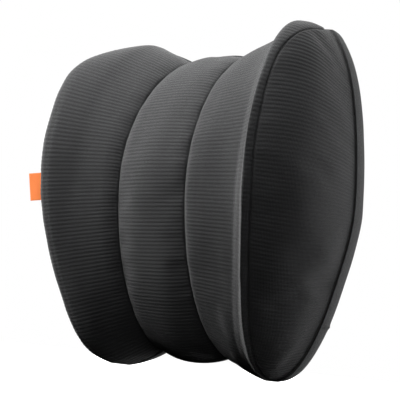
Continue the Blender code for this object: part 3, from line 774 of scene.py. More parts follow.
def knit_look(name, dark, light, wale=0.0016, course=0.0012):
    """Corded knit: small V stitches on the ribs, their raised yarn painted lighter, and painted
    shade in the rib grooves and along the seams.
    """
    look = Look(name, Sheen_Weight=0.22, Sheen_Roughness=0.45, Specular_IOR_Level=0.25)
    x, y = look.uv()
    cell = look.maths("ABSOLUTE", look.maths("SUBTRACT", look.maths(
        "FRACT", look.maths("DIVIDE", x, wale)), 0.5))
    leg = look.wave(look.maths("ADD", y, look.maths("MULTIPLY", cell, course)), course)
    wale_crown = look.maths("SUBTRACT", 1.0, look.maths("POWER", look.maths(
        "MULTIPLY", cell, 2.0), 3.0))
    stitch = look.maths("MULTIPLY", leg, wale_crown)
    groove = look.node("ShaderNodeAttribute", attribute_name="groove").outputs["Fac"]
    fleck = look.noise(620.0, 4.0, 0.65)
    cloud = look.noise(38.0, 3.0, 0.5)
    mixed = look.maths("ADD", look.span(fleck, 0.0, 0.60), look.span(cloud, -0.10, 0.25))
    # painted shade of the knit's relief: the raised stitches are made lighter than the hollows
    # between them
    mixed = look.maths("ADD", mixed, look.span(stitch, -0.10, 0.22))
    yarn = look.blend(mixed, dark, light)
    # painted shade: where the groove attribute is high, in the rib grooves and along the seams,
    # the colour is pulled towards a darker copy of the dark yarn
    deep = tuple(0.42 * c for c in dark)
    colour = look.blend(look.maths("MULTIPLY", groove, 0.34), yarn, deep)
    height = look.maths("ADD", look.maths("MULTIPLY", stitch, 0.75),
                        look.maths("MULTIPLY", fleck, 0.5))
    return look.finish(colour, look.span(fleck, 0.80, 0.98), height, 0.00035)


def weave_look(name, dark, light, pitch, sheen=0.18, depth=0.0002):
    """Plain weave on object coordinates, for flat fabric that faces Y, its raised crossings
    painted lighter than the hollows as painted shade.
    """
    look = Look(name, Sheen_Weight=sheen, Sheen_Roughness=0.5, Specular_IOR_Level=0.25)
    parts = look.node("ShaderNodeSeparateXYZ", {0: look.place()})
    flat = look.maths("ADD", parts.outputs["X"], parts.outputs["Y"])
    warp = look.wave(flat, pitch)
    weft = look.wave(parts.outputs["Z"], pitch)
    cross = look.maths("ABSOLUTE", look.maths("SUBTRACT", warp, weft))
    fleck = look.noise(700.0, 4.0, 0.65)
    cloud = look.noise(26.0, 3.0, 0.5)
    # random flecks of yarn tone, and painted shade of the weave: the crossings that stand
    # highest are made lighter
    mixed = look.maths("ADD", look.span(fleck, 0.0, 0.5), look.span(cross, 0.0, 0.35))
    mixed = look.maths("ADD", mixed, look.span(cloud, -0.1, 0.25))
    colour = look.blend(mixed, dark, light)
    height = look.maths("ADD", cross, look.maths("MULTIPLY", fleck, 0.6))
    return look.finish(colour, look.span(fleck, 0.78, 0.96), height, depth)


def band_look(name, dark, light, cross_pitch, cord_pitch, depth=0.00018, sheen=0.12):
    """Narrow woven band on its UV map: cords along it and picks across it, the raised crossings
    painted lighter and painted shade where the groove attribute is set.
    """
    look = Look(name, Sheen_Weight=sheen, Sheen_Roughness=0.5, Specular_IOR_Level=0.3)
    x, y = look.uv()
    pick = look.wave(y, cross_pitch)
    cord = look.wave(x, cord_pitch)
    cross = look.maths("ABSOLUTE", look.maths("SUBTRACT", pick, cord))
    fleck = look.noise(900.0, 3.0, 0.6)
    groove = look.node("ShaderNodeAttribute", attribute_name="groove").outputs["Fac"]
    # random flecks of yarn tone, and painted shade of the weave: the crossings that stand
    # highest are made lighter
    mixed = look.maths("ADD", look.span(cross, 0.0, 0.6), look.span(fleck, -0.1, 0.45))
    colour = look.blend(mixed, dark, light)
    # painted shade: the colour is darkened where the groove attribute is set
    colour = look.blend(look.maths("MULTIPLY", groove, 0.7), colour,
                        tuple(0.5 * c for c in dark))
    height = look.maths("ADD", cross, look.maths("MULTIPLY", fleck, 0.4))
    return look.finish(colour, look.span(fleck, 0.72, 0.95), height, depth)


def thread_look(name, colour):
    """Twisted sewing thread, with a painted highlight on the crests of its twist and painted
    shade between them.
    """
    look = Look(name, Sheen_Weight=0.1, Specular_IOR_Level=0.35)
    parts = look.node("ShaderNodeSeparateXYZ", {0: look.place()})
    lean = look.maths("ADD", parts.outputs["Z"], look.maths(
        "MULTIPLY", look.maths("ADD", parts.outputs["X"], parts.outputs["Y"]), 0.8))
    twist = look.wave(lean, 0.0007)
    # painted highlight: a lighter copy of the thread colour on the twist's crests, the same
    # wave that raises the bump
    light = tuple(2.4 * c for c in colour)
    return look.finish(look.blend(twist, colour, light), look.span(twist, 0.55, 0.8),
                       twist, 0.0001)


def moulded_look(name, colour):
    """Moulded plastic with a fine spark texture and rubbed high spots."""
    look = Look(name, Specular_IOR_Level=0.5)
    grain = look.noise(1500.0, 3.0, 0.6)
    rub = look.noise(160.0, 4.0, 0.6)
    light = tuple(1.8 * c for c in colour)
    return look.finish(look.blend(look.span(rub, -0.2, 0.8), colour, light),
                       look.span(rub, 0.30, 0.52), grain, 0.00005)


def metal_look(name, colour):
    """Dark plated zinc with fine brushing and rubbed spots."""
    look = Look(name, Metallic=1.0)
    parts = look.node("ShaderNodeSeparateXYZ", {0: look.place()})
    stretched = look.node("ShaderNodeCombineXYZ", {
        0: look.maths("MULTIPLY", parts.outputs["X"], 0.12),
        1: parts.outputs["Y"], 2: parts.outputs["Z"]}).outputs[0]
    brush = look.node("ShaderNodeTexNoise", {"Vector": stretched, "Scale": 4200.0,
                                             "Detail": 2.0}).outputs["Fac"]
    rub = look.noise(240.0, 4.0, 0.6)
    light = tuple(min(1.0, 2.2 * c) for c in colour)
    return look.finish(look.blend(rub, colour, light), look.span(rub, 0.22, 0.42),
                       brush, 0.00002)


def foam_look(name, dark, light):
    """Open pores of foam, with painted shade darkening the pores."""
    look = Look(name, Specular_IOR_Level=0.2, Subsurface_Weight=0.05)
    pores = look.node("ShaderNodeTexVoronoi", {"Vector": look.place(), "Scale": 900.0})
    cloud = look.noise(60.0)
    # painted shade: the colour is darker in the pores, low in the same Voronoi distance that
    # gives the bump, mixed with random cloudy tone
    mixed = look.maths("ADD", pores.outputs["Distance"], look.span(cloud, -0.2, 0.4))
    return look.finish(look.blend(mixed, dark, light), look.span(cloud, 0.85, 1.0),
                       pores.outputs["Distance"], 0.0004)


# ---------------------------------------------------------------- stuffing

class Stuffing:
    """Shell of the whole cover, blown up as cloth, and how far each point moved."""

    rows = 85
    counts = (7, 15, 13)
    frames = 20

    def __init__(self, sizes):
        self.sizes = sizes
        self.turn = np.linspace(-0.5 * math.pi, 0.5 * math.pi, self.rows)
        s = np.sin(self.turn)
        centre, wing, side = self.counts
        half = np.concatenate([
            centre_points(s, np.linspace(0.0, 1.0, centre + 1))[:, :-1],
            wing_points(s, np.linspace(0.0, 1.0, wing + 1))[:, :-1],
            side_points(s, np.linspace(0.0, 1.0, side + 1))], 1)
        self.rest = np.concatenate([mirrored(half)[:, :-1], half], 1)
        self.middle = half.shape[1] - 1
        self.moved = np.zeros_like(self.rest)
        self.moved = self.blow_up()

    def looseness(self):
        """How free each point is: 0 on seams and outline, 1 in the middle of a panel."""
        centre, wing, side = self.counts
        u = np.concatenate([
            np.cos(0.5 * math.pi * np.linspace(0.0, 1.0, centre + 1))[:-1],
            np.sin(math.pi * np.linspace(0.0, 1.0, wing + 1))[:-1],
            np.sin(math.pi * np.linspace(0.0, 1.0, side + 1))])
        u = np.concatenate([u[:0:-1], u])
        along = np.clip(1.0 - np.abs(np.sin(self.turn)) ** 6, 0.0, 1.0)
        return np.clip(u, 0.0, 1.0)[None, :] * along[:, None]

    def blow_up(self):
        """Moves of the shell's points after a short cloth run."""
        sizes = self.sizes
        loose = self.looseness()
        start = self.rest - outward_of(self.rest) * (sizes.slack * loose)[..., None]
        rows, columns = loose.shape
        form = bmesh.new()
        bmesh.ops.create_grid(form, x_segments=columns - 1, y_segments=rows - 1, size=1.0)
        for vert, point in zip(form.verts, start.reshape(-1, 3)):
            vert.co = point
        held = [k for k, free in enumerate(loose.ravel()) if free < HELD]
        everything = form.verts[:] + form.edges[:] + form.faces[:]
        other = bmesh.ops.duplicate(form, geom=everything)
        extra = [g for g in other["geom"] if isinstance(g, bmesh.types.BMVert)]
        twin = other["vert_map"]
        for vert in extra:
            origin = twin.get(vert)
            if origin is None or not origin.is_boundary:
                vert.co.y = 0.0
        bmesh.ops.remove_doubles(form, verts=[v for v in form.verts if v.is_boundary],
                                 dist=NEAR_EDGE)
        bmesh.ops.recalc_face_normals(form, faces=form.faces[:])
        mesh = mesh_of("stuffing_shell", form)
        shell = bpy.data.objects.new("stuffing_shell", mesh)
        bpy.context.scene.collection.objects.link(shell)
        key = {tuple(np.round(v.co, 6)): v.index for v in mesh.vertices}
        numbers = [key[tuple(np.round(Vector(p), 6))] for p in start.reshape(-1, 3)]
        group = shell.vertex_groups.new(name="held")
        free = set(numbers) - {numbers[k] for k in held}
        group.add([v.index for v in mesh.vertices if v.index not in free], 1.0, "REPLACE")
        cloth = shell.modifiers.new("Cloth", "CLOTH")
        setting = cloth.settings
        setting.quality = 6
        setting.mass = 0.25
        setting.tension_stiffness = setting.compression_stiffness = 18.0
        setting.shear_stiffness = 6.0
        setting.bending_stiffness = 0.8
        setting.use_pressure = True
        setting.uniform_pressure_force = sizes.pressure
        setting.shrink_min = -0.012
        setting.effector_weights.gravity = 0.0
        setting.vertex_group_mass = "held"
        cloth.collision_settings.use_collision = False
        cloth.point_cache.frame_start = 1
        cloth.point_cache.frame_end = self.frames
        for number in range(1, self.frames + 1):
            bpy.context.scene.frame_set(number)
        graph = bpy.context.evaluated_depsgraph_get()
        blown = bpy.data.meshes.new_from_object(shell.evaluated_get(graph))
        after = np.zeros(len(blown.vertices) * 3)
        blown.vertices.foreach_get("co", after)
        after = after.reshape(-1, 3)[numbers].reshape(self.rest.shape)
        bpy.data.objects.remove(shell)
        bpy.data.meshes.remove(blown)
        bpy.data.meshes.remove(mesh)
        bpy.context.scene.frame_set(1)
        moved = after - self.rest
        size = np.linalg.norm(moved, axis=-1, keepdims=True)
        limit = sizes.swell_limit
        moved = moved * np.minimum(1.0, limit / np.maximum(size, 1e-9))
        for axis in (0, 1):
            near = (np.roll(moved, 1, axis) + np.roll(moved, -1, axis)) * 0.25
            moved = np.where(loose[..., None] > HELD, 0.5 * moved + near, moved)
        return moved

    def at(self, s, u, first, last, flip):
        """Moves at fine rows s and columns u of the panel between two shell columns."""
        picked = self.moved[:, self.middle + first:self.middle + last + 1]
        if flip:
            picked = self.moved[:, self.middle - last:self.middle - first + 1][:, ::-1]
        rows = spline_weights(self.rows, (np.arcsin(np.clip(s, -1, 1)) / math.pi + 0.5)
                              * (self.rows - 1))
        columns = spline_weights(last - first + 1, u * (last - first))
        return np.einsum("ri,ijk,cj->rck", rows, picked, columns)


STUFFING = []


def stuffing(context):
    """The blown-up shell, made once."""
    if not STUFFING:
        STUFFING.append(Stuffing(context.scene.cushion_cover))
    return STUFFING[0]


# -------------------------------------------------------------------- cover

def panel_rows(points_of, middle, pitch):
    """Row stations evenly spaced along the middle column of a panel."""
    turn = np.linspace(-0.5 * math.pi, 0.5 * math.pi, 2401)
    line = points_of(np.sin(turn), np.array([middle]))
    gone = run_of(line, 0)[:, 0]
    count = int(gone[-1] / pitch)
    return np.sin(np.interp(np.linspace(0.0, gone[-1], count + 1), gone, turn))


def panel_grid(kind, sizes, fill, left):
    """Fine grid of one panel: points and distances across and along."""
    points_of, middle, count = {
        "centre": (centre_points, 0.0, 40),
        "wing": (wing_points, 0.5, 56),
        "side": (side_points, 0.5, 46),
    }[kind]
    s = panel_rows(points_of, middle, sizes.rib_pitch / 7.0)
    even = np.linspace(0.0, 1.0, count + 1)
    even = even - 0.035 * np.sin(2.0 * math.pi * even)
    slim = 0.0008
    even = slim + (1.0 - 2.0 * slim) * even
    if kind == "centre":
        points = centre_points(s, 2.0 * even - 1.0)
        points = points + fill.at(s, even, -Stuffing.counts[0], Stuffing.counts[0], left)
    else:
        surface, places = wing_and_side(s, fill, left)
        seam = seam_place(s)[:, None]
        wanted = seam * even if kind == "wing" else seam + (2.0 - seam) * even
        points = read_at(surface, places, wanted)
    spine = points_of(s, np.array([middle]))[:, 0]
    along = unit(np.gradient(spine, axis=0))
    gone = run_of(spine[:, None], 0)
    lean = np.einsum("rck,rk->rc", points - spine[:, None], along)
    return points, run_of(points, 1), gone + lean


def border_distance(points):
    """Distance of each grid point from the nearest border of its panel."""
    across = run_of(points, 1)
    along = run_of(points, 0)
    near_side = np.minimum(across, across[:, -1:] - across)
    near_end = np.minimum(along, along[-1:] - along)
    return near_side, near_end


def sew_panel(name, kind, left, sizes, fill, shade, seed):
    """One ribbed, padded panel of the cover as a closed piece."""
    points, across, along = panel_grid(kind, sizes, fill, left)
    outward = outward_of(points)
    near_side, near_end = border_distance(points)
    near = np.minimum(near_side, near_end)
    plain = smooth_step(near_side - near_end, PLAIN_RAMP)
    if kind == "side":
        halfway = np.linspace(0.0, 1.0, points.shape[1])[None, :]
        plain = np.maximum(plain, smooth_step(halfway + 0 * near, SIDE_PLAIN))
    crisp = 1.0 - PLAIN_SHARE * plain
    depth, rate = RIB_UNEVEN
    uneven = depth * wander(across * rate, along * rate, seed)
    drift, wide, tall = RIB_DRIFT
    phase = along / sizes.rib_pitch + drift * wander(across * wide, along * tall, seed + 1)
    ridge = np.abs(np.sin(math.pi * phase)) ** RIB_SHARPNESS
    fade = np.clip(near / RIB_FADE, 0.0, 1.0)
    relief = sizes.rib_height * ridge * fade * (1.0 + uneven)
    even, ragged = PUCKER_SHARES
    pinch = 1.0 + even * np.sin(2.0 * math.pi * along / PUCKER_PITCH)
    pinch = pinch + ragged * wander(across * 12.0, along * 55.0, seed + 2)
    roll = sizes.seam_depth * pinch * crisp * np.exp(-(near / sizes.seam_width) ** 1.5)
    depth, wide, tall = WRINKLE
    soft = depth * wander(across * wide, along * tall, seed + 3)
    soft = soft * smooth_step(near, (0.0, WRINKLE_RAMP))
    start, reach = CREASE_REACH
    crease = np.exp(-(near_side / reach) ** 2) * np.clip(near_side / start, 0.0, 1.0)
    depth, wide, tall = SEAM_CREASE
    folds = wander(across * wide, along * tall, seed + 4)
    soft = soft + depth * crease * (1.0 - plain) * folds
    outer = points + outward * (relief + soft - roll)[..., None]
    outer[..., 2] = np.maximum(outer[..., 2], -LIFT_Z)
    wall = sizes.wall * (0.55 + 0.45 * np.clip(near / WALL_RAMP, 0.0, 1.0))
    inner = points - outward * (wall + np.clip(roll, 0.0, 0.0015))[..., None]
    # mask of painted shade: the rib valleys and a thin line along the seams, which the knit
    # material darkens
    groove = np.clip((1.0 - ridge) ** 1.3 * fade + crisp * np.exp(-(near / 0.0005) ** 2), 0, 1)
    if left:
        outer, inner = mirrored(outer), mirrored(inner)
        across, along, groove = across[:, ::-1], along[:, ::-1], groove[:, ::-1]
    mesh = mesh_of(name + "_padded", sheet_form(outer + SHIFT, inner + SHIFT))
    set_layers(mesh, across, along, groove)
    piece = add_mesh(name + "_padded", mesh, shade, "cushion", (name,))


class CUSHION_OT_cover(bpy.types.Operator):
    """Five ribbed panels of the front and sides, blown up and sewn together"""

    bl_idname = "cushion.cover"
    bl_label = "Front and side panels"

    def execute(self, context):
        sizes = context.scene.cushion_cover
        fill = stuffing(context)
        shade = knit_look("corded_knit", sizes.dark, sizes.light)
        jobs = (("cover_centre", "centre", False), ("cover_wing_left", "wing", True),
                ("cover_wing_right", "wing", False), ("cover_side_left", "side", True),
                ("cover_side_right", "side", False))
        for seed, (name, kind, left) in enumerate(jobs):
            sew_panel(name, kind, left, sizes, fill, shade, 40 + 7 * seed)
        return {"FINISHED"}


# --------------------------------------------------------------------- back

def outline_loop():
    """Outline of the cover, anticlockwise from the front, and its row and column counts."""
    rows = 121
    s = np.sin(np.linspace(-0.5 * math.pi, 0.5 * math.pi, rows))
    u = np.linspace(0.0, 1.0, 21)
    wing = wing_points(s, u) + lie_grid(s, u, False)
    half = np.concatenate([centre_points(s, np.linspace(0.0, 1.0, 13))[:, :-1],
                           wing[:, :-1],
                           side_points(s, np.linspace(0.0, 1.0, 4))], 1)
    front = np.concatenate([mirrored(half)[:, :-1], half], 1)
    loop = np.concatenate([front[0], front[1:, -1], front[-1, -2::-1], front[-2:0:-1, 0]])
    return loop, rows, front.shape[1]


def edge_rings(rim, turns):
    """Loops of the rounded edge, from the outline to the flat back."""
    along = np.roll(rim, -1, axis=0) - np.roll(rim, 1, axis=0)
    inward = unit(np.stack([-along[:, 2], 0 * along[:, 0], along[:, 0]], -1))
    for _ in range(40):
        inward = unit(np.roll(inward, 1, axis=0) + inward + np.roll(inward, -1, axis=0))
    rings = []
    for turn in turns:
        ring = rim + inward * EDGE_INSET * (1.0 - math.cos(turn))
        ring[:, 1] = EDGE_DEPTH * (math.sin(turn) - 1.0)
        rings.append(ring)
    return rings


def flat_fill(ring, rows, columns):
    """Grid that fills a loop smoothly, its border the loop itself."""
    bottom = ring[:columns]
    right = ring[columns - 1:columns + rows - 1]
    top = ring[columns + rows - 2:2 * columns + rows - 2][::-1]
    left = np.concatenate([ring[:1], ring[2 * columns + rows - 3:][::-1]])
    u = np.linspace(0.0, 1.0, columns)[None, :, None]
    v = np.linspace(0.0, 1.0, rows)[:, None, None]
    grid = (1 - v) * bottom[None] + v * top[None]
    grid = grid + (1 - u) * left[:, None] + u * right[:, None]
    return grid - ((1 - u) * (1 - v) * bottom[0] + u * (1 - v) * bottom[-1]
                   + (1 - u) * v * top[0] + u * v * top[-1])


def back_form():
    """Whole back as a shell with its rounded edge, before the zip line is cut."""
    rim, rows, columns = outline_loop()
    rings = edge_rings(rim, 0.5 * math.pi * np.array(EDGE_TURNS))
    grid = flat_fill(rings[-1], rows, columns)
    form = bmesh.new()
    bmesh.ops.create_grid(form, x_segments=columns - 1, y_segments=rows - 1, size=1.0)
    place = form.verts.layers.int.new("place")
    numbers = {}
    loop = [(0, j) for j in range(columns)] + [(i, columns - 1) for i in range(1, rows)]
    loop += [(rows - 1, j) for j in range(columns - 2, -1, -1)]
    loop += [(i, 0) for i in range(rows - 2, 0, -1)]
    for k, (i, j) in enumerate(loop):
        numbers[i * columns + j] = k
    for k, (vert, point) in enumerate(zip(form.verts, grid.reshape(-1, 3))):
        vert[place] = numbers.get(k, -1)
        vert.co = point
    border = [e for e in form.edges if e.is_boundary]
    for ring in rings[-2::-1]:
        grown = bmesh.ops.extrude_edge_only(form, edges=border)
        for item in grown["geom"]:
            if isinstance(item, bmesh.types.BMVert):
                item.co = ring[item[place]]
        border = [e for e in form.edges if e.is_boundary]
    bmesh.ops.recalc_face_normals(form, faces=form.faces[:])
    probe = max(form.faces, key=lambda f: f.calc_center_median().y)
    if probe.normal.y < 0.0:
        bmesh.ops.reverse_faces(form, faces=form.faces[:])
    bmesh.ops.translate(form, verts=form.verts[:], vec=SHIFT)
    return form


def shape_back(form, sizes, upper):
    """Cuts a back shell at the zip and gives it rolled edges, hollows and thickness."""
    side = 1.0 if upper else -1.0
    level = ZIP_LEVEL + side * ZIP_LINE_GAP
    cuts = [((0, 0, level), (0, 0, -side), True)]
    for gap in CUT_GAPS:
        cuts.append(((0, 0, ZIP_LEVEL + side * (ZIP_REACH + gap)), (0, 0, 1), False))
        for end in (-1.0, 1.0):
            cuts.append(((end * (ZIP_HALF + gap), 0, 0), (1, 0, 0), False))
        if gap > 0.0:
            cuts.append(((0, 0, level + side * gap), (0, 0, 1), False))
    for place, normal, clear in cuts:
        geom = form.verts[:] + form.edges[:] + form.faces[:]
        bmesh.ops.bisect_plane(form, geom=geom, dist=NEAR_EDGE, plane_co=place,
                               plane_no=normal, clear_outer=clear)
    opening = []
    for face in form.faces:
        spot = face.calc_center_median()
        if (abs(spot.x) < ZIP_HALF and abs(spot.z - ZIP_LEVEL) < ZIP_REACH
                and spot.y > BACK_Y - 0.01):
            opening.append(face)
    bmesh.ops.delete(form, geom=opening, context="FACES")
    form.normal_update()
    base = {v: (v.co.copy(), v.normal.copy()) for v in form.verts}
    ends = np.array([tuple(p) for p, _ in base.values()])
    hollow = 0.5 + 0.5 * wander(ends[:, 0] * HOLLOW_RATE, ends[:, 2] * HOLLOW_RATE, 91)
    flat = smooth_step(ends[:, 1], [BACK_Y + step for step in FLAT_RAMP])
    near_zip = np.abs(ends[:, 2] - ZIP_LEVEL)
    beyond = np.maximum(np.abs(ends[:, 0]) - ZIP_HALF, 0.0)
    to_opening = np.hypot(beyond, np.maximum(near_zip - ZIP_REACH, 0.0))
    to_line = np.where(np.abs(ends[:, 0]) > ZIP_HALF, near_zip, np.inf)
    to_rim = ends[:, 1] - (BACK_Y - EDGE_DEPTH)
    near = np.minimum(np.minimum(to_opening, to_line), np.maximum(to_rim, 0.0))
    reach, share_left = SOFT_RIM
    soft_rim = np.where(to_rim < reach, share_left, 1.0)
    sunk, reach = ROLL
    roll = sunk * soft_rim * np.exp(-(near / reach) ** 1.5)
    sunk, reach = ZIP_RIPPLE
    wide, tall = RIPPLE_RATES
    waves = wander(ends[:, 0] * wide, ends[:, 2] * tall, 17)
    ripple = sunk * np.exp(-(to_opening / reach) ** 2) * waves
    depth = roll + sizes.pucker * hollow * flat + np.abs(ripple)
    for vert, sunk in zip(base, depth):
        point, normal = base[vert]
        vert.co = point - normal * float(sunk)
    grown = bmesh.ops.extrude_face_region(form, geom=form.faces[:], use_keep_orig=True)
    known = {tuple(v.co): base[v][1] for v in base}
    for item in grown["geom"]:
        if isinstance(item, bmesh.types.BMVert):
            item.co = item.co - known[tuple(item.co)] * sizes.wall
    bmesh.ops.recalc_face_normals(form, faces=form.faces[:])
    sharpen(form)


class CUSHION_OT_back(bpy.types.Operator):
    """Smooth back above and below the zip, with the rounded edge"""

    bl_idname = "cushion.back"
    bl_label = "Back panels"

    def execute(self, context):
        sizes = context.scene.cushion_back
        shade = weave_look("back_weave", sizes.dark, sizes.light, sizes.weave_pitch)
        for name, upper in (("cover_back_upper", True), ("cover_back_lower", False)):
            form = back_form()
            shape_back(form, sizes, upper)
            for layer in list(form.verts.layers.int.values()):
                form.verts.layers.int.remove(layer)
            piece = add_piece(name + "_sewn", form, shade, "cushion",
                              (name,))
        return {"FINISHED"}


def worn_set(place):
    """How far filling at a place gives way under the wings, as the cover lies there."""
    local = place - SHIFT
    x, y, z = local[:, 0], local[:, 1], local[:, 2]
    u = np.zeros(len(x))
    for _ in range(3):
        lift = 1.0 - (1.0 - u) ** WING_RISE
        bottom, middle, top = (a + (b - a) * lift for a, b in zip(SEAM_Z, NOSE_Z))
        s = (z - middle) / np.where(z > middle, top - middle, middle - bottom)
        s = np.clip(s, -0.999, 0.999)
        inner, outer = parabola(s, FRONT_SEAM_X), parabola(s, NOSE_SEAM_X)
        u = np.clip((np.abs(x) - inner) / (outer - inner), 0.0, 1.0)
    front = smooth_step(-y, [EDGE_DEPTH + step for step in FRONT_RAMP])
    slim = SLIM * np.clip(2.0 * arch(s, 2.0), SLIM_LEAST, 1.0)
    give = (np.minimum(lie_of(s, u, x < 0.0), 0.0) - slim) * front
    drop = (TOP_EASE + DROP) * np.sin(math.pi * u) * smooth_step(z, DROP_RAMP)
    corners = smooth_step(TIP_Z[1] - z, NARROW_BELOW) + smooth_step(z, NARROW_ABOVE)
    narrow = np.sign(x) * NARROW * smooth_step(np.abs(x), NARROW_RAMP) * corners
    return outward_rows(s) * give[:, None] - np.stack([narrow, 0.0 * x, drop], -1)


class CUSHION_OT_filling(bpy.types.Operator):
    """Liner and foam core, settled under the cover as the wings lie"""

    bl_idname = "cushion.filling"
    bl_label = "Liner and foam core"

    def execute(self, context):
        looks = {
            "foam_core": foam_look("cut_foam", (0.62, 0.55, 0.40), (0.86, 0.80, 0.66)),
            "inner_liner": weave_look("liner_cloth", (0.55, 0.54, 0.52),
                                      (0.80, 0.79, 0.77), 0.0008),
        }
        for name, shade in looks.items():
            form = bmesh.new()
            form.from_mesh(frame["nodes"][name].data)
            bmesh.ops.remove_doubles(form, verts=form.verts[:], dist=NEAR_EDGE)
            bmesh.ops.subdivide_edges(form, edges=form.edges[:], cuts=1,
                                      use_grid_fill=True)
            place = np.array([tuple(v.co) for v in form.verts])
            for vert, move in zip(form.verts, worn_set(place)):
                vert.co += Vector(move)
            bmesh.ops.recalc_face_normals(form, faces=form.faces[:])
            add_piece(name + "_settled", form, shade, "cushion", (name,))
        return {"FINISHED"}


# -------------------------------------------------------------------- seams

class CUSHION_OT_seams(bpy.types.Operator):
    """Rows of stitches in the front seams and beside the zip"""

    bl_idname = "cushion.seams"
    bl_label = "Seam stitches"

    def execute(self, context):
        sizes = context.scene.cushion_seams
        shade = thread_look("sewing_thread", sizes.colour)
        s = np.sin(np.linspace(-0.47 * math.pi, 0.47 * math.pi, 161))
        fill = stuffing(context)
        for end, left in (("left", True), ("right", False)):
            flip = np.array([-1.0 if left else 1.0, 1.0, 1.0])
            surface, places = wing_and_side(s, fill, left)
            outward = outward_of(surface)
            for name, place in (("thread_centre", 0 * s), ("thread_nose", seam_place(s))):
                path = read_at(surface, places, place[:, None])[:, 0]
                near = [np.clip(place + step, 0.0, 2.0) for step in (-0.02, 0.0, 0.02)]
                away = unit(sum(read_at(outward, places, spot[:, None])
                                for spot in near))[:, 0]
                if name == "thread_centre":
                    away = outward_rows(s)
                path = (path - away * sizes.sink) * flip + SHIFT
                form = bmesh.new()
                stitch_row(form, path, sizes, away * flip)
                add_piece(name + "_" + end + "_stitches", form, shade, "cushion",
                          (name + "_" + end,))
        form = bmesh.new()
        for side in (-1.0, 1.0):
            level = ZIP_LEVEL + side * (ZIP_REACH + ZIP_STITCH_GAP)
            x = np.linspace(-ZIP_HALF - ZIP_STITCH_PAST, ZIP_HALF + ZIP_STITCH_PAST, 200)
            path = np.stack([x, 0 * x + BACK_Y - ZIP_STITCH_SINK, 0 * x + level], -1)
            up = np.tile([0.0, 1.0, 0.0], (len(x), 1))
            stitch_row(form, path, sizes, up)
        add_piece("zip_stitches", form, shade, "cushion")
        return {"FINISHED"}


# ---------------------------------------------------------------------- zip

def band(name, line, up, width, thickness, level, sizes, shade, body, replaces):
    """Woven band that follows a line in X and Y, with raised cords along it and painted shade
    between them.
    """
    gone = run_of(line[:, None], 0)
    columns = int(round(width / sizes.cord_pitch)) * 6
    across = np.linspace(-0.5 * width, 0.5 * width, columns + 1)
    edge = np.clip(1.0 - (2.0 * np.abs(across) / width) ** 14, 0.0, 1.0) ** 0.5
    cord = np.abs(np.cos(math.pi * across / sizes.cord_pitch)) ** 0.7
    half = 0.5 * thickness * (0.45 + 0.55 * edge) - sizes.cord_height * (1.0 - cord)
    middle = line[:, None] + np.array([0.0, 0.0, 1.0]) * (level + across)[None, :, None]
    offset = up[:, None] * half[None, :, None]
    mesh = mesh_of(name, sheet_form(middle + offset, middle - offset))
    shape = (len(line), columns + 1)
    # the groove attribute is set between the cords, where the band material paints shade
    set_layers(mesh, np.broadcast_to(across, shape), np.broadcast_to(gone, shape),
               np.broadcast_to(1.0 - cord, shape))
    return add_mesh(name, mesh, shade, body, replaces)


def straight(x_from, x_to, y, count):
    """Straight line in X at one Y, with its upward directions."""
    x = np.linspace(x_from, x_to, count)
    line = np.stack([x, 0 * x + y, 0 * x], -1)
    return line, np.tile([0.0, 1.0, 0.0], (count, 1))


class CUSHION_OT_zip(bpy.types.Operator):
    """Woven tapes, nylon coils and end stops of the zip"""

    bl_idname = "cushion.zip"
    bl_label = "Zip tapes, coils and stops"

    def execute(self, context):
        sizes = context.scene.cushion_zip
        strap = context.scene.cushion_strap
        tape_shade = band_look("zip_tape_twill", sizes.tape,
                               tuple(2.1 * c for c in sizes.tape), 0.0009, 0.0012)
        coil_shade = moulded_look("zip_coil_wire", sizes.nylon)
        metal = metal_look("zip_plating", sizes.metal)
        for side in ("upper", "lower"):
            low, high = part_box("zip_tape_" + side)
            line, up = straight(low.x, high.x, 0.5 * (low.y + high.y), 90)
            band("zip_tape_" + side + "_woven", line, up, high.z - low.z,
                 high.y - low.y, 0.5 * (low.z + high.z), strap, tape_shade, "cushion",
                 ("zip_tape_" + side,))
            low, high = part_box("zip_coil_" + side)
            turns = int((high.x - low.x) / sizes.turn)
            step = np.linspace(0.0, 2.0 * math.pi * turns, turns * 8 + 1)
            wire = sizes.wire
            hand = 1.0 if side == "upper" else -1.0
            path = np.stack([
                np.linspace(low.x + wire, high.x - wire, len(step)),
                0.5 * (low.y + high.y) + (0.5 * (high.y - low.y) - wire) * np.sin(step),
                0.5 * (low.z + high.z)
                + hand * (0.5 * (high.z - low.z) - wire) * np.cos(step)], -1)
            mesh = tube_mesh("zip_coil_" + side + "_wire", [path], wire, 1, False)
            add_mesh("zip_coil_" + side + "_wire", mesh, coil_shade, "cushion",
                     ("zip_coil_" + side,))
        for end in ("closed", "open"):
            low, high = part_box("zip_stop_" + end)
            form = bmesh.new()
            rounded_box(form, low, high, 0.0005)
            add_piece("zip_stop_" + end + "_crimped", form, metal, "cushion",
                      ("zip_stop_" + end,))
        return {"FINISHED"}


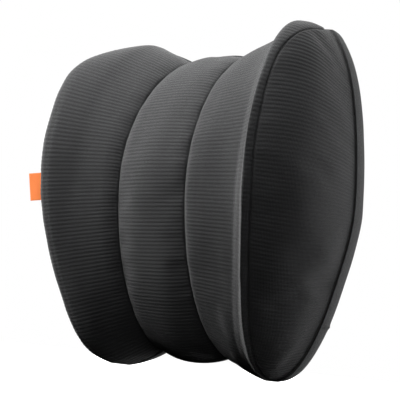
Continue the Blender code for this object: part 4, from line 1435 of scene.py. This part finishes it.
class CUSHION_OT_zip_slider(bpy.types.Operator):
    """Zip slider with its bridge, and the swinging pull"""

    bl_idname = "cushion.zip_slider"
    bl_label = "Zip slider and pull"

    def execute(self, context):
        metal = metal_look("slider_plating", context.scene.cushion_zip.metal)
        low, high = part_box("zip_slider")
        centre = 0.5 * (low.x + high.x)
        half = 0.5 * (high.x - low.x)
        coil_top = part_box("zip_coil_upper")[1].y
        coil_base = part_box("zip_coil_upper")[0].y
        top_low = coil_top + CLEARANCE
        top_high = top_low + 0.0010
        pull_low, pull_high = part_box("zip_pull")
        form = bmesh.new()
        wide = 0.5 * (high.z - low.z)
        plate(form, oval(centre, ZIP_LEVEL, half, wide * 0.96, 3.6, 40, -0.06),
              top_low, top_high, 0.0003)
        plate(form, oval(centre, ZIP_LEVEL, half, wide * 0.88, 3.6, 40, -0.06),
              low.y, low.y + 0.0007, 0.0002)
        flange = 0.0031
        for side in (-1.0, 1.0):
            ends = sorted((ZIP_LEVEL + side * flange, ZIP_LEVEL + side * wide * 0.94))
            rounded_box(form, (centre - half * 0.86, coil_base, ends[0]),
                        (centre + half * 0.80, top_low + 0.0005, ends[1]), 0.0003)
        rounded_box(form, (centre + 0.5 * half, low.y + 0.0003, ZIP_LEVEL - 0.0003),
                    (centre + 0.93 * half, top_low + 0.0004, ZIP_LEVEL + 0.0003), 0.0001)
        reach = 0.7 * half
        turn = np.linspace(0.0, math.pi, 17)
        clear = high.y - top_high - 0.0005
        path = np.stack([centre - (reach - 0.0005) * np.sign(np.cos(turn))
                         * np.abs(np.cos(turn)) ** 0.45,
                         top_high - 0.0001 + clear * np.sin(turn) ** 0.45,
                         0 * turn + ZIP_LEVEL], -1)
        bridge = tube_mesh("slider_bridge", [path], 0.0005, 3, False)
        widened = bmesh.new()
        widened.from_mesh(bridge)
        bmesh.ops.scale(widened, verts=widened.verts[:], vec=(1.0, 1.0, 1.9),
                        space=Matrix.Translation((0.0, 0.0, -ZIP_LEVEL)))
        widened.to_mesh(bridge)
        widened.free()
        form.from_mesh(bridge)
        bpy.data.meshes.remove(bridge)
        add_piece("zip_slider_cast", form, metal, "slider", ("zip_slider",))
        form = bmesh.new()
        thick = pull_high.y - pull_low.y
        tab_end = centre - 0.8 * half - 0.0004
        plate(form, oval(0.5 * (pull_low.x + tab_end), ZIP_LEVEL,
                         0.5 * (tab_end - pull_low.x),
                         0.5 * (pull_high.z - pull_low.z), 4.2, 48, 0.10),
              pull_low.y, pull_high.y, 0.00025)
        faces = [f for f in form.faces if abs(f.normal.y) > 0.99 and len(f.verts) > 20]
        bmesh.ops.inset_region(form, faces=faces, thickness=0.0011, depth=0.0)
        bmesh.ops.inset_region(form, faces=faces, thickness=0.0002, depth=-0.00022)
        arm = 0.5 * 0.0066
        corner = np.array([[tab_end - 0.0009, -arm], [centre - 0.0006, -arm],
                           [centre - 0.0001, -arm + 0.0006], [centre - 0.0001, arm - 0.0006],
                           [centre - 0.0006, arm], [tab_end - 0.0009, arm]])
        middle = 0.5 * (pull_low.y + pull_high.y)
        path = np.stack([corner[:, 0], 0 * corner[:, 0] + middle,
                         corner[:, 1] + ZIP_LEVEL], -1)
        bow = tube_mesh("pull_bow", [path], 0.5 * thick - 0.00005, 3, False)
        form.from_mesh(bow)
        bpy.data.meshes.remove(bow)
        add_piece("zip_pull_tab", form, metal, "pull", ("zip_pull",))
        return {"FINISHED"}


# -------------------------------------------------------------------- strap

def rounded_line(points, reach, count=6):
    """Line in X and Y through points with its corners rounded, and its side directions."""
    points = np.asarray(points, float)
    line = [points[0]]
    for before, here, after in zip(points[:-2], points[1:-1], points[2:]):
        back = (before - here) / np.linalg.norm(before - here)
        ahead = (after - here) / np.linalg.norm(after - here)
        cut = min(reach, 0.45 * np.linalg.norm(before - here),
                  0.45 * np.linalg.norm(after - here))
        start, end = here + back * cut, here + ahead * cut
        for t in np.linspace(0.0, 1.0, count):
            line.append((1 - t) ** 2 * start + 2 * t * (1 - t) * here + t ** 2 * end)
    line.append(points[-1])
    line = np.array(line)
    dense = []
    for a, b in zip(line[:-1], line[1:]):
        pieces = max(1, int(np.linalg.norm(b - a) / 0.004))
        dense += [a + (b - a) * n / pieces for n in range(pieces)]
    dense.append(line[-1])
    dense = np.array(dense)
    along = unit(np.gradient(dense, axis=0))
    up = np.stack([-along[:, 1], along[:, 0], 0 * along[:, 0]], -1)
    return np.stack([dense[:, 0], dense[:, 1], 0 * dense[:, 0]], -1), up


def fold(x, y, radius, facing):
    """Half turn of a band's middle line round a bar, from under it to over it."""
    turn = np.linspace(-0.5 * math.pi, 0.5 * math.pi, 13)
    return [(x + facing * math.cos(t) * radius, y + math.sin(t) * radius) for t in turn]


class CUSHION_OT_strap(bpy.types.Operator):
    """Elastic strap with its ring tab, ring and sewn patches"""

    bl_idname = "cushion.strap"
    bl_label = "Elastic strap and ring"

    def execute(self, context):
        sizes = context.scene.cushion_strap
        thread = context.scene.cushion_seams
        web = band_look("elastic_web", sizes.web, tuple(2.2 * c for c in sizes.web),
                        0.0011, sizes.cord_pitch)
        plastic = moulded_look("moulded_ring", sizes.plastic)
        low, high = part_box("strap_web")
        under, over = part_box("strap_ring")
        radius = 0.5 * (over.y - under.y)
        bar_y = 0.5 * (over.y + under.y)
        flat = low.y + 0.5 * STRAP_THICKNESS
        raised = flat + 0.0016
        turn = bar_y - flat
        top = bar_y + turn
        second = flat + STRAP_THICKNESS + CLEARANCE
        ring_x = under.x + radius
        reach = 0.170
        sewn = reach - 0.020
        run = 0.008
        line = [(-reach, flat), (-sewn, flat), (-sewn + run, raised),
                (ring_x - 5.0 * run, raised), (ring_x - 4.0 * run, flat)]
        line += fold(ring_x, bar_y, turn, 1.0)
        line += [(ring_x - run, top), (ring_x - 2.0 * run, second),
                 (ring_x - 3.5 * run, second)]
        path, up = rounded_line(line, 0.0016)
        band("strap_web_elastic", path, up, STRAP_WIDTH, STRAP_THICKNESS, STRAP_LEVEL,
             sizes, web, "cushion", ("strap_web",))
        tab_x = ring_x + 0.012
        line = [(reach, flat)] + fold(tab_x, bar_y, turn, -1.0)
        line += [(tab_x + run, top), (tab_x + 2.0 * run, second),
                 (tab_x + 3.0 * run, second)]
        path, up = rounded_line(line, 0.0016)
        band("strap_ring_tab_elastic", path, up, STRAP_WIDTH, STRAP_THICKNESS,
             STRAP_LEVEL, sizes, web, "cushion", ("strap_ring_tab",))
        wide = 0.5 * (over.x - under.x) - radius
        tall = 0.5 * (over.z - under.z) - radius
        corner = 0.0030
        points = []
        for n, (x, z) in enumerate(((1, -1), (1, 1), (-1, 1), (-1, -1))):
            for t in np.linspace(0.0, 0.5 * math.pi, 7):
                angle = 0.5 * math.pi * (n - 1) + t
                points.append((0.5 * (over.x + under.x) + x * (wide - corner)
                               + corner * math.cos(angle), bar_y,
                               STRAP_LEVEL + z * (tall - corner)
                               + corner * math.sin(angle)))
        mesh = tube_mesh("strap_ring_moulded", [np.array(points)], radius, 4, True)
        add_mesh("strap_ring_moulded", mesh, plastic, "cushion",
                 ("strap_ring",))
        stitches = bmesh.new()
        for side in ("left", "right"):
            name = "strap_patch_" + side
            low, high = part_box(name)
            line, up = straight(low.x, high.x, 0.5 * (low.y + high.y), 14)
            band(name + "_sewn", line, up, high.z - low.z, high.y - low.y,
                 0.5 * (low.z + high.z), sizes, web, "cushion", (name,))
            x0, x1, z0, z1 = low.x + 0.002, high.x - 0.002, low.z + 0.0025, high.z - 0.0025
            y = high.y + 0.0001
            for a, b in (((x0, z0), (x1, z0)), ((x1, z0), (x1, z1)), ((x1, z1), (x0, z1)),
                         ((x0, z1), (x0, z0)), ((x0, z0), (x1, z1)), ((x0, z1), (x1, z0))):
                t = np.linspace(0.0, 1.0, 40)[:, None]
                path = (1 - t) * np.array([a[0], y, a[1]]) + t * np.array([b[0], y, b[1]])
                stitch_row(stitches, path, thread, np.tile([0.0, 1.0, 0.0], (40, 1)))
        add_piece("strap_stitches", stitches, thread_look("strap_thread", (0.02,) * 3),
                  "cushion")
        return {"FINISHED"}


class CUSHION_OT_glide(bpy.types.Operator):
    """Three-bar glide that the strap is threaded through"""

    bl_idname = "cushion.glide"
    bl_label = "Strap glide"

    def execute(self, context):
        sizes = context.scene.cushion_strap
        low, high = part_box("strap_glide")
        rail = 0.0022
        bar = 0.0030
        middle = 0.5 * (low.x + high.x)
        inner = (low.z + rail, high.z - rail)
        under = low.y + 0.0013
        over = high.y - 0.0016
        bury = 0.0008
        form = bmesh.new()
        round_off = sizes.rounding
        rounded_box(form, (low.x, low.y, low.z), (high.x, high.y, inner[0]), round_off)
        rounded_box(form, (low.x, low.y, inner[1]), (high.x, high.y, high.z), round_off)
        rounded_box(form, (middle - 0.5 * bar, low.y + 0.0001, inner[0] - bury),
                    (middle + 0.5 * bar, under, inner[1] + bury), round_off)
        for x in (low.x + 0.0001, high.x - bar):
            rounded_box(form, (x, over, inner[0] - bury),
                        (x + bar - 0.0001, high.y - 0.0001, inner[1] + bury), round_off)
        add_piece("strap_glide_moulded", form, moulded_look("moulded_glide", sizes.plastic),
                  "glide", ("strap_glide",))
        return {"FINISHED"}


# ---------------------------------------------------------------------- tag

class CUSHION_OT_tag(bpy.types.Operator):
    """Folded woven tag in the left nose seam, without lettering"""

    bl_idname = "cushion.tag"
    bl_label = "Side tag"

    def execute(self, context):
        sizes = context.scene.cushion_tag
        corners = np.array([v.co for v in frame["nodes"]["side_tag"].data.vertices])
        low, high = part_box("side_tag")
        split_x, split_z = 0.5 * (low.x + high.x), 0.5 * (low.z + high.z)
        inner = corners[:, 0] > split_x
        top = corners[:, 2] > split_z
        root_low = corners[inner & ~top].mean(0)
        root_top = corners[inner & top].mean(0)
        end_low = corners[~inner & ~top].mean(0)
        end_top = corners[~inner & top].mean(0)
        out = unit(end_low - root_low)
        up = unit(root_top - root_low)
        flat = np.cross(up, out)
        root_low = root_low - out * sizes.root
        root_top = root_top - out * sizes.root
        a = np.linspace(0.0, 1.0, 33)[None, :, None]
        b = np.linspace(0.0, 1.0, 49)[:, None, None]
        middle = (1 - a) * ((1 - b) * root_low + b * root_top)
        middle = middle + a * ((1 - b) * end_low + b * end_top)
        curl = sizes.curl * np.sin(math.pi * a) * (1.0 + 0.6 * np.cos(math.pi * b))
        middle = middle + flat * curl
        fold_edge = np.sqrt(np.clip(1.0 - np.clip((a - 0.95) / 0.05, 0, 1) ** 2, 0.02, 1))
        side_edge = np.clip(1.0 - np.abs(2.0 * b - 1.0) ** 24, 0.12, 1.0) ** 0.5
        wide, tall = 0.0145, 0.0315
        ribs = 0.00004 * np.sin(2.0 * math.pi * b * tall / 0.0010)
        half = (0.5 * sizes.thickness * fold_edge * side_edge + ribs)[..., 0]
        offset = flat * half[..., None]
        mesh = mesh_of("side_tag_woven", sheet_form(middle + offset, middle - offset))
        shape = half.shape
        across = np.broadcast_to(a[..., 0] * wide, shape)
        along = np.broadcast_to(b[..., 0] * tall, shape)
        # painted shade: the tag is darkened along its thinned top and bottom edges through the
        # groove attribute
        rim = np.exp(-(np.minimum(along, tall - along) / 0.0006) ** 2)
        set_layers(mesh, across, along, 0.5 * rim)
        shade = band_look("tag_satin", tuple(0.80 * c for c in sizes.colour),
                          sizes.colour, 0.0010, 0.0007, 0.00012)
        # painted glow: the tag is given a constant orange emission, so it shines whatever the
        # lamps do
        dye = shade.node_tree.nodes["Principled BSDF"]
        dye.inputs["Emission Color"].default_value = (*sizes.colour, 1.0)
        dye.inputs["Emission Strength"].default_value = sizes.painted_glow
        add_mesh("side_tag_woven", mesh, shade, "cushion", ("side_tag",))
        return {"FINISHED"}


# -------------------------------------------------------------------- stage

class CUSHION_OT_stage(bpy.types.Operator):
    """Pale floor, white world behind, soft lights and the camera"""

    bl_idname = "cushion.stage"
    bl_label = "Stage, lights and camera"

    def execute(self, context):
        sizes = context.scene.cushion_stage
        turn, tilt = sizes.azimuth, sizes.elevation
        back = Vector((math.sin(turn) * math.cos(tilt), -math.cos(turn) * math.cos(tilt),
                       math.sin(tilt)))
        right = Vector((math.cos(turn), math.sin(turn), 0.0))
        up = back.cross(right)
        target = Vector((0.0, BACK_Y - TARGET_IN, TARGET_Z))
        lens = bpy.data.cameras.new("camera")
        lens.lens = sizes.lens
        lens.sensor_width = SENSOR_WIDTH
        lens.shift_x, lens.shift_y = LENS_SHIFT
        lens.clip_start, lens.clip_end = CLIP_RANGE
        camera = bpy.data.objects.new("camera", lens)
        across = right * math.cos(sizes.roll) + up * math.sin(sizes.roll)
        upward = up * math.cos(sizes.roll) - right * math.sin(sizes.roll)
        pose = Matrix((across, upward, back)).transposed().to_4x4()
        camera.matrix_world = Matrix.Translation(target + back * sizes.distance) @ pose
        context.scene.collection.objects.link(camera)
        context.scene.camera = camera

        paper = Look("studio_paper", Specular_IOR_Level=0.1)
        grain = paper.noise(40.0)
        colour = paper.blend(grain, (0.86, 0.86, 0.86), (0.90, 0.90, 0.90))
        paper.base.inputs["Emission Color"].default_value = (1.0, 1.0, 1.0, 1.0)
        paper.base.inputs["Emission Strength"].default_value = 1.0
        shade = paper.finish(colour, paper.span(grain, 0.85, 0.95), grain, 0.0001)
        form = bmesh.new()
        bmesh.ops.create_circle(form, cap_ends=True, radius=FLOOR_RADIUS, segments=96,
                                matrix=Matrix.Translation((0.0, 0.0, -FLOOR_DROP)))
        mesh = mesh_of("floor", form)
        mesh.materials.append(shade)
        floor = bpy.data.objects.new("floor", mesh)
        floor.visible_diffuse = False
        floor.visible_glossy = False
        context.scene.collection.objects.link(floor)

        world = bpy.data.worlds.new("studio")
        world.use_nodes = True
        sky = world.node_tree.nodes["Background"]
        sky.inputs["Color"].default_value = (1.0, 1.0, 1.0, 1.0)
        sky.inputs["Strength"].default_value = 1.0
        world.cycles_visibility.diffuse = False
        world.cycles_visibility.glossy = False
        context.scene.world = world
        level = Vector((back.x, back.y, 0.0)).normalized()
        high = Vector((0.0, 0.0, 1.0))
        lights = (
            ("key_light", -right * 0.56 - level * 0.04 + high * 0.72, sizes.key, 1.6, 1.5),
            ("rim_light", right * 0.97 - level * 0.12 + high * 0.05, sizes.rim, 2.0, 1.8),
            ("room_light", level * 1.0 + high * 0.35, sizes.fill, 1.6, 1.2),
            ("back_light", -level * 1.0 + high * 0.9 - right * 0.2, sizes.back, 1.2, 1.0),
        )
        aim = Vector((0.0, 0.0, AIM_Z))
        for name, side, power, width, height in lights:
            lamp = bpy.data.lights.new(name, "AREA")
            lamp.shape = "RECTANGLE"
            lamp.size = width
            lamp.size_y = height
            lamp.energy = power
            item = bpy.data.objects.new(name, lamp)
            item.location = side.normalized() * LAMP_DISTANCE + aim
            item.rotation_mode = "QUATERNION"
            item.rotation_quaternion = (-side).to_track_quat("-Z", "Y")
            context.scene.collection.objects.link(item)
        context.scene.view_settings.view_transform = "Standard"
        return {"FINISHED"}


# -------------------------------------------------------------------- panel

OPERATORS = (CUSHION_OT_filling, CUSHION_OT_cover, CUSHION_OT_back, CUSHION_OT_seams,
             CUSHION_OT_zip, CUSHION_OT_zip_slider, CUSHION_OT_strap, CUSHION_OT_glide,
             CUSHION_OT_tag, CUSHION_OT_stage)

GROUPS = (("cushion_cover", CoverSizes), ("cushion_back", BackSizes),
          ("cushion_seams", SeamSizes), ("cushion_zip", ZipSizes),
          ("cushion_strap", StrapSizes), ("cushion_tag", TagSizes),
          ("cushion_stage", StageSizes))


class CUSHION_PT_pieces(bpy.types.Panel):
    """Pieces of the lumbar cushion"""

    bl_label = "Lumbar cushion"
    bl_idname = "CUSHION_PT_pieces"
    bl_space_type = "VIEW_3D"
    bl_region_type = "UI"
    bl_category = "Cushion"

    def draw(self, context):
        for operator in OPERATORS:
            self.layout.operator(operator.bl_idname)
        for name, group in GROUPS:
            box = self.layout.box()
            box.label(text=group.__doc__)
            for key in group.__annotations__:
                box.prop(getattr(context.scene, name), key)


def register():
    """Registers the classes and the settings on the scene."""
    for _, group in GROUPS:
        bpy.utils.register_class(group)
    for item in (*OPERATORS, CUSHION_PT_pieces):
        bpy.utils.register_class(item)
    for name, group in GROUPS:
        setattr(bpy.types.Scene, name, bpy.props.PointerProperty(type=group))


def unregister():
    """Takes the classes and the settings away again."""
    for name, _ in GROUPS:
        delattr(bpy.types.Scene, name)
    for item in (CUSHION_PT_pieces, *reversed(OPERATORS)):
        bpy.utils.unregister_class(item)
    for _, group in reversed(GROUPS):
        bpy.utils.unregister_class(group)


def main():
    """Clears the default objects, registers the classes and builds every piece in order."""
    for item in list(bpy.data.objects):
        if item.name in ("Cube", "Light", "Camera"):
            bpy.data.objects.remove(item)
    register()
    for operator in OPERATORS:
        group, call = operator.bl_idname.split(".")
        getattr(getattr(bpy.ops, group), call)()


if __name__ == "__main__":
    main()
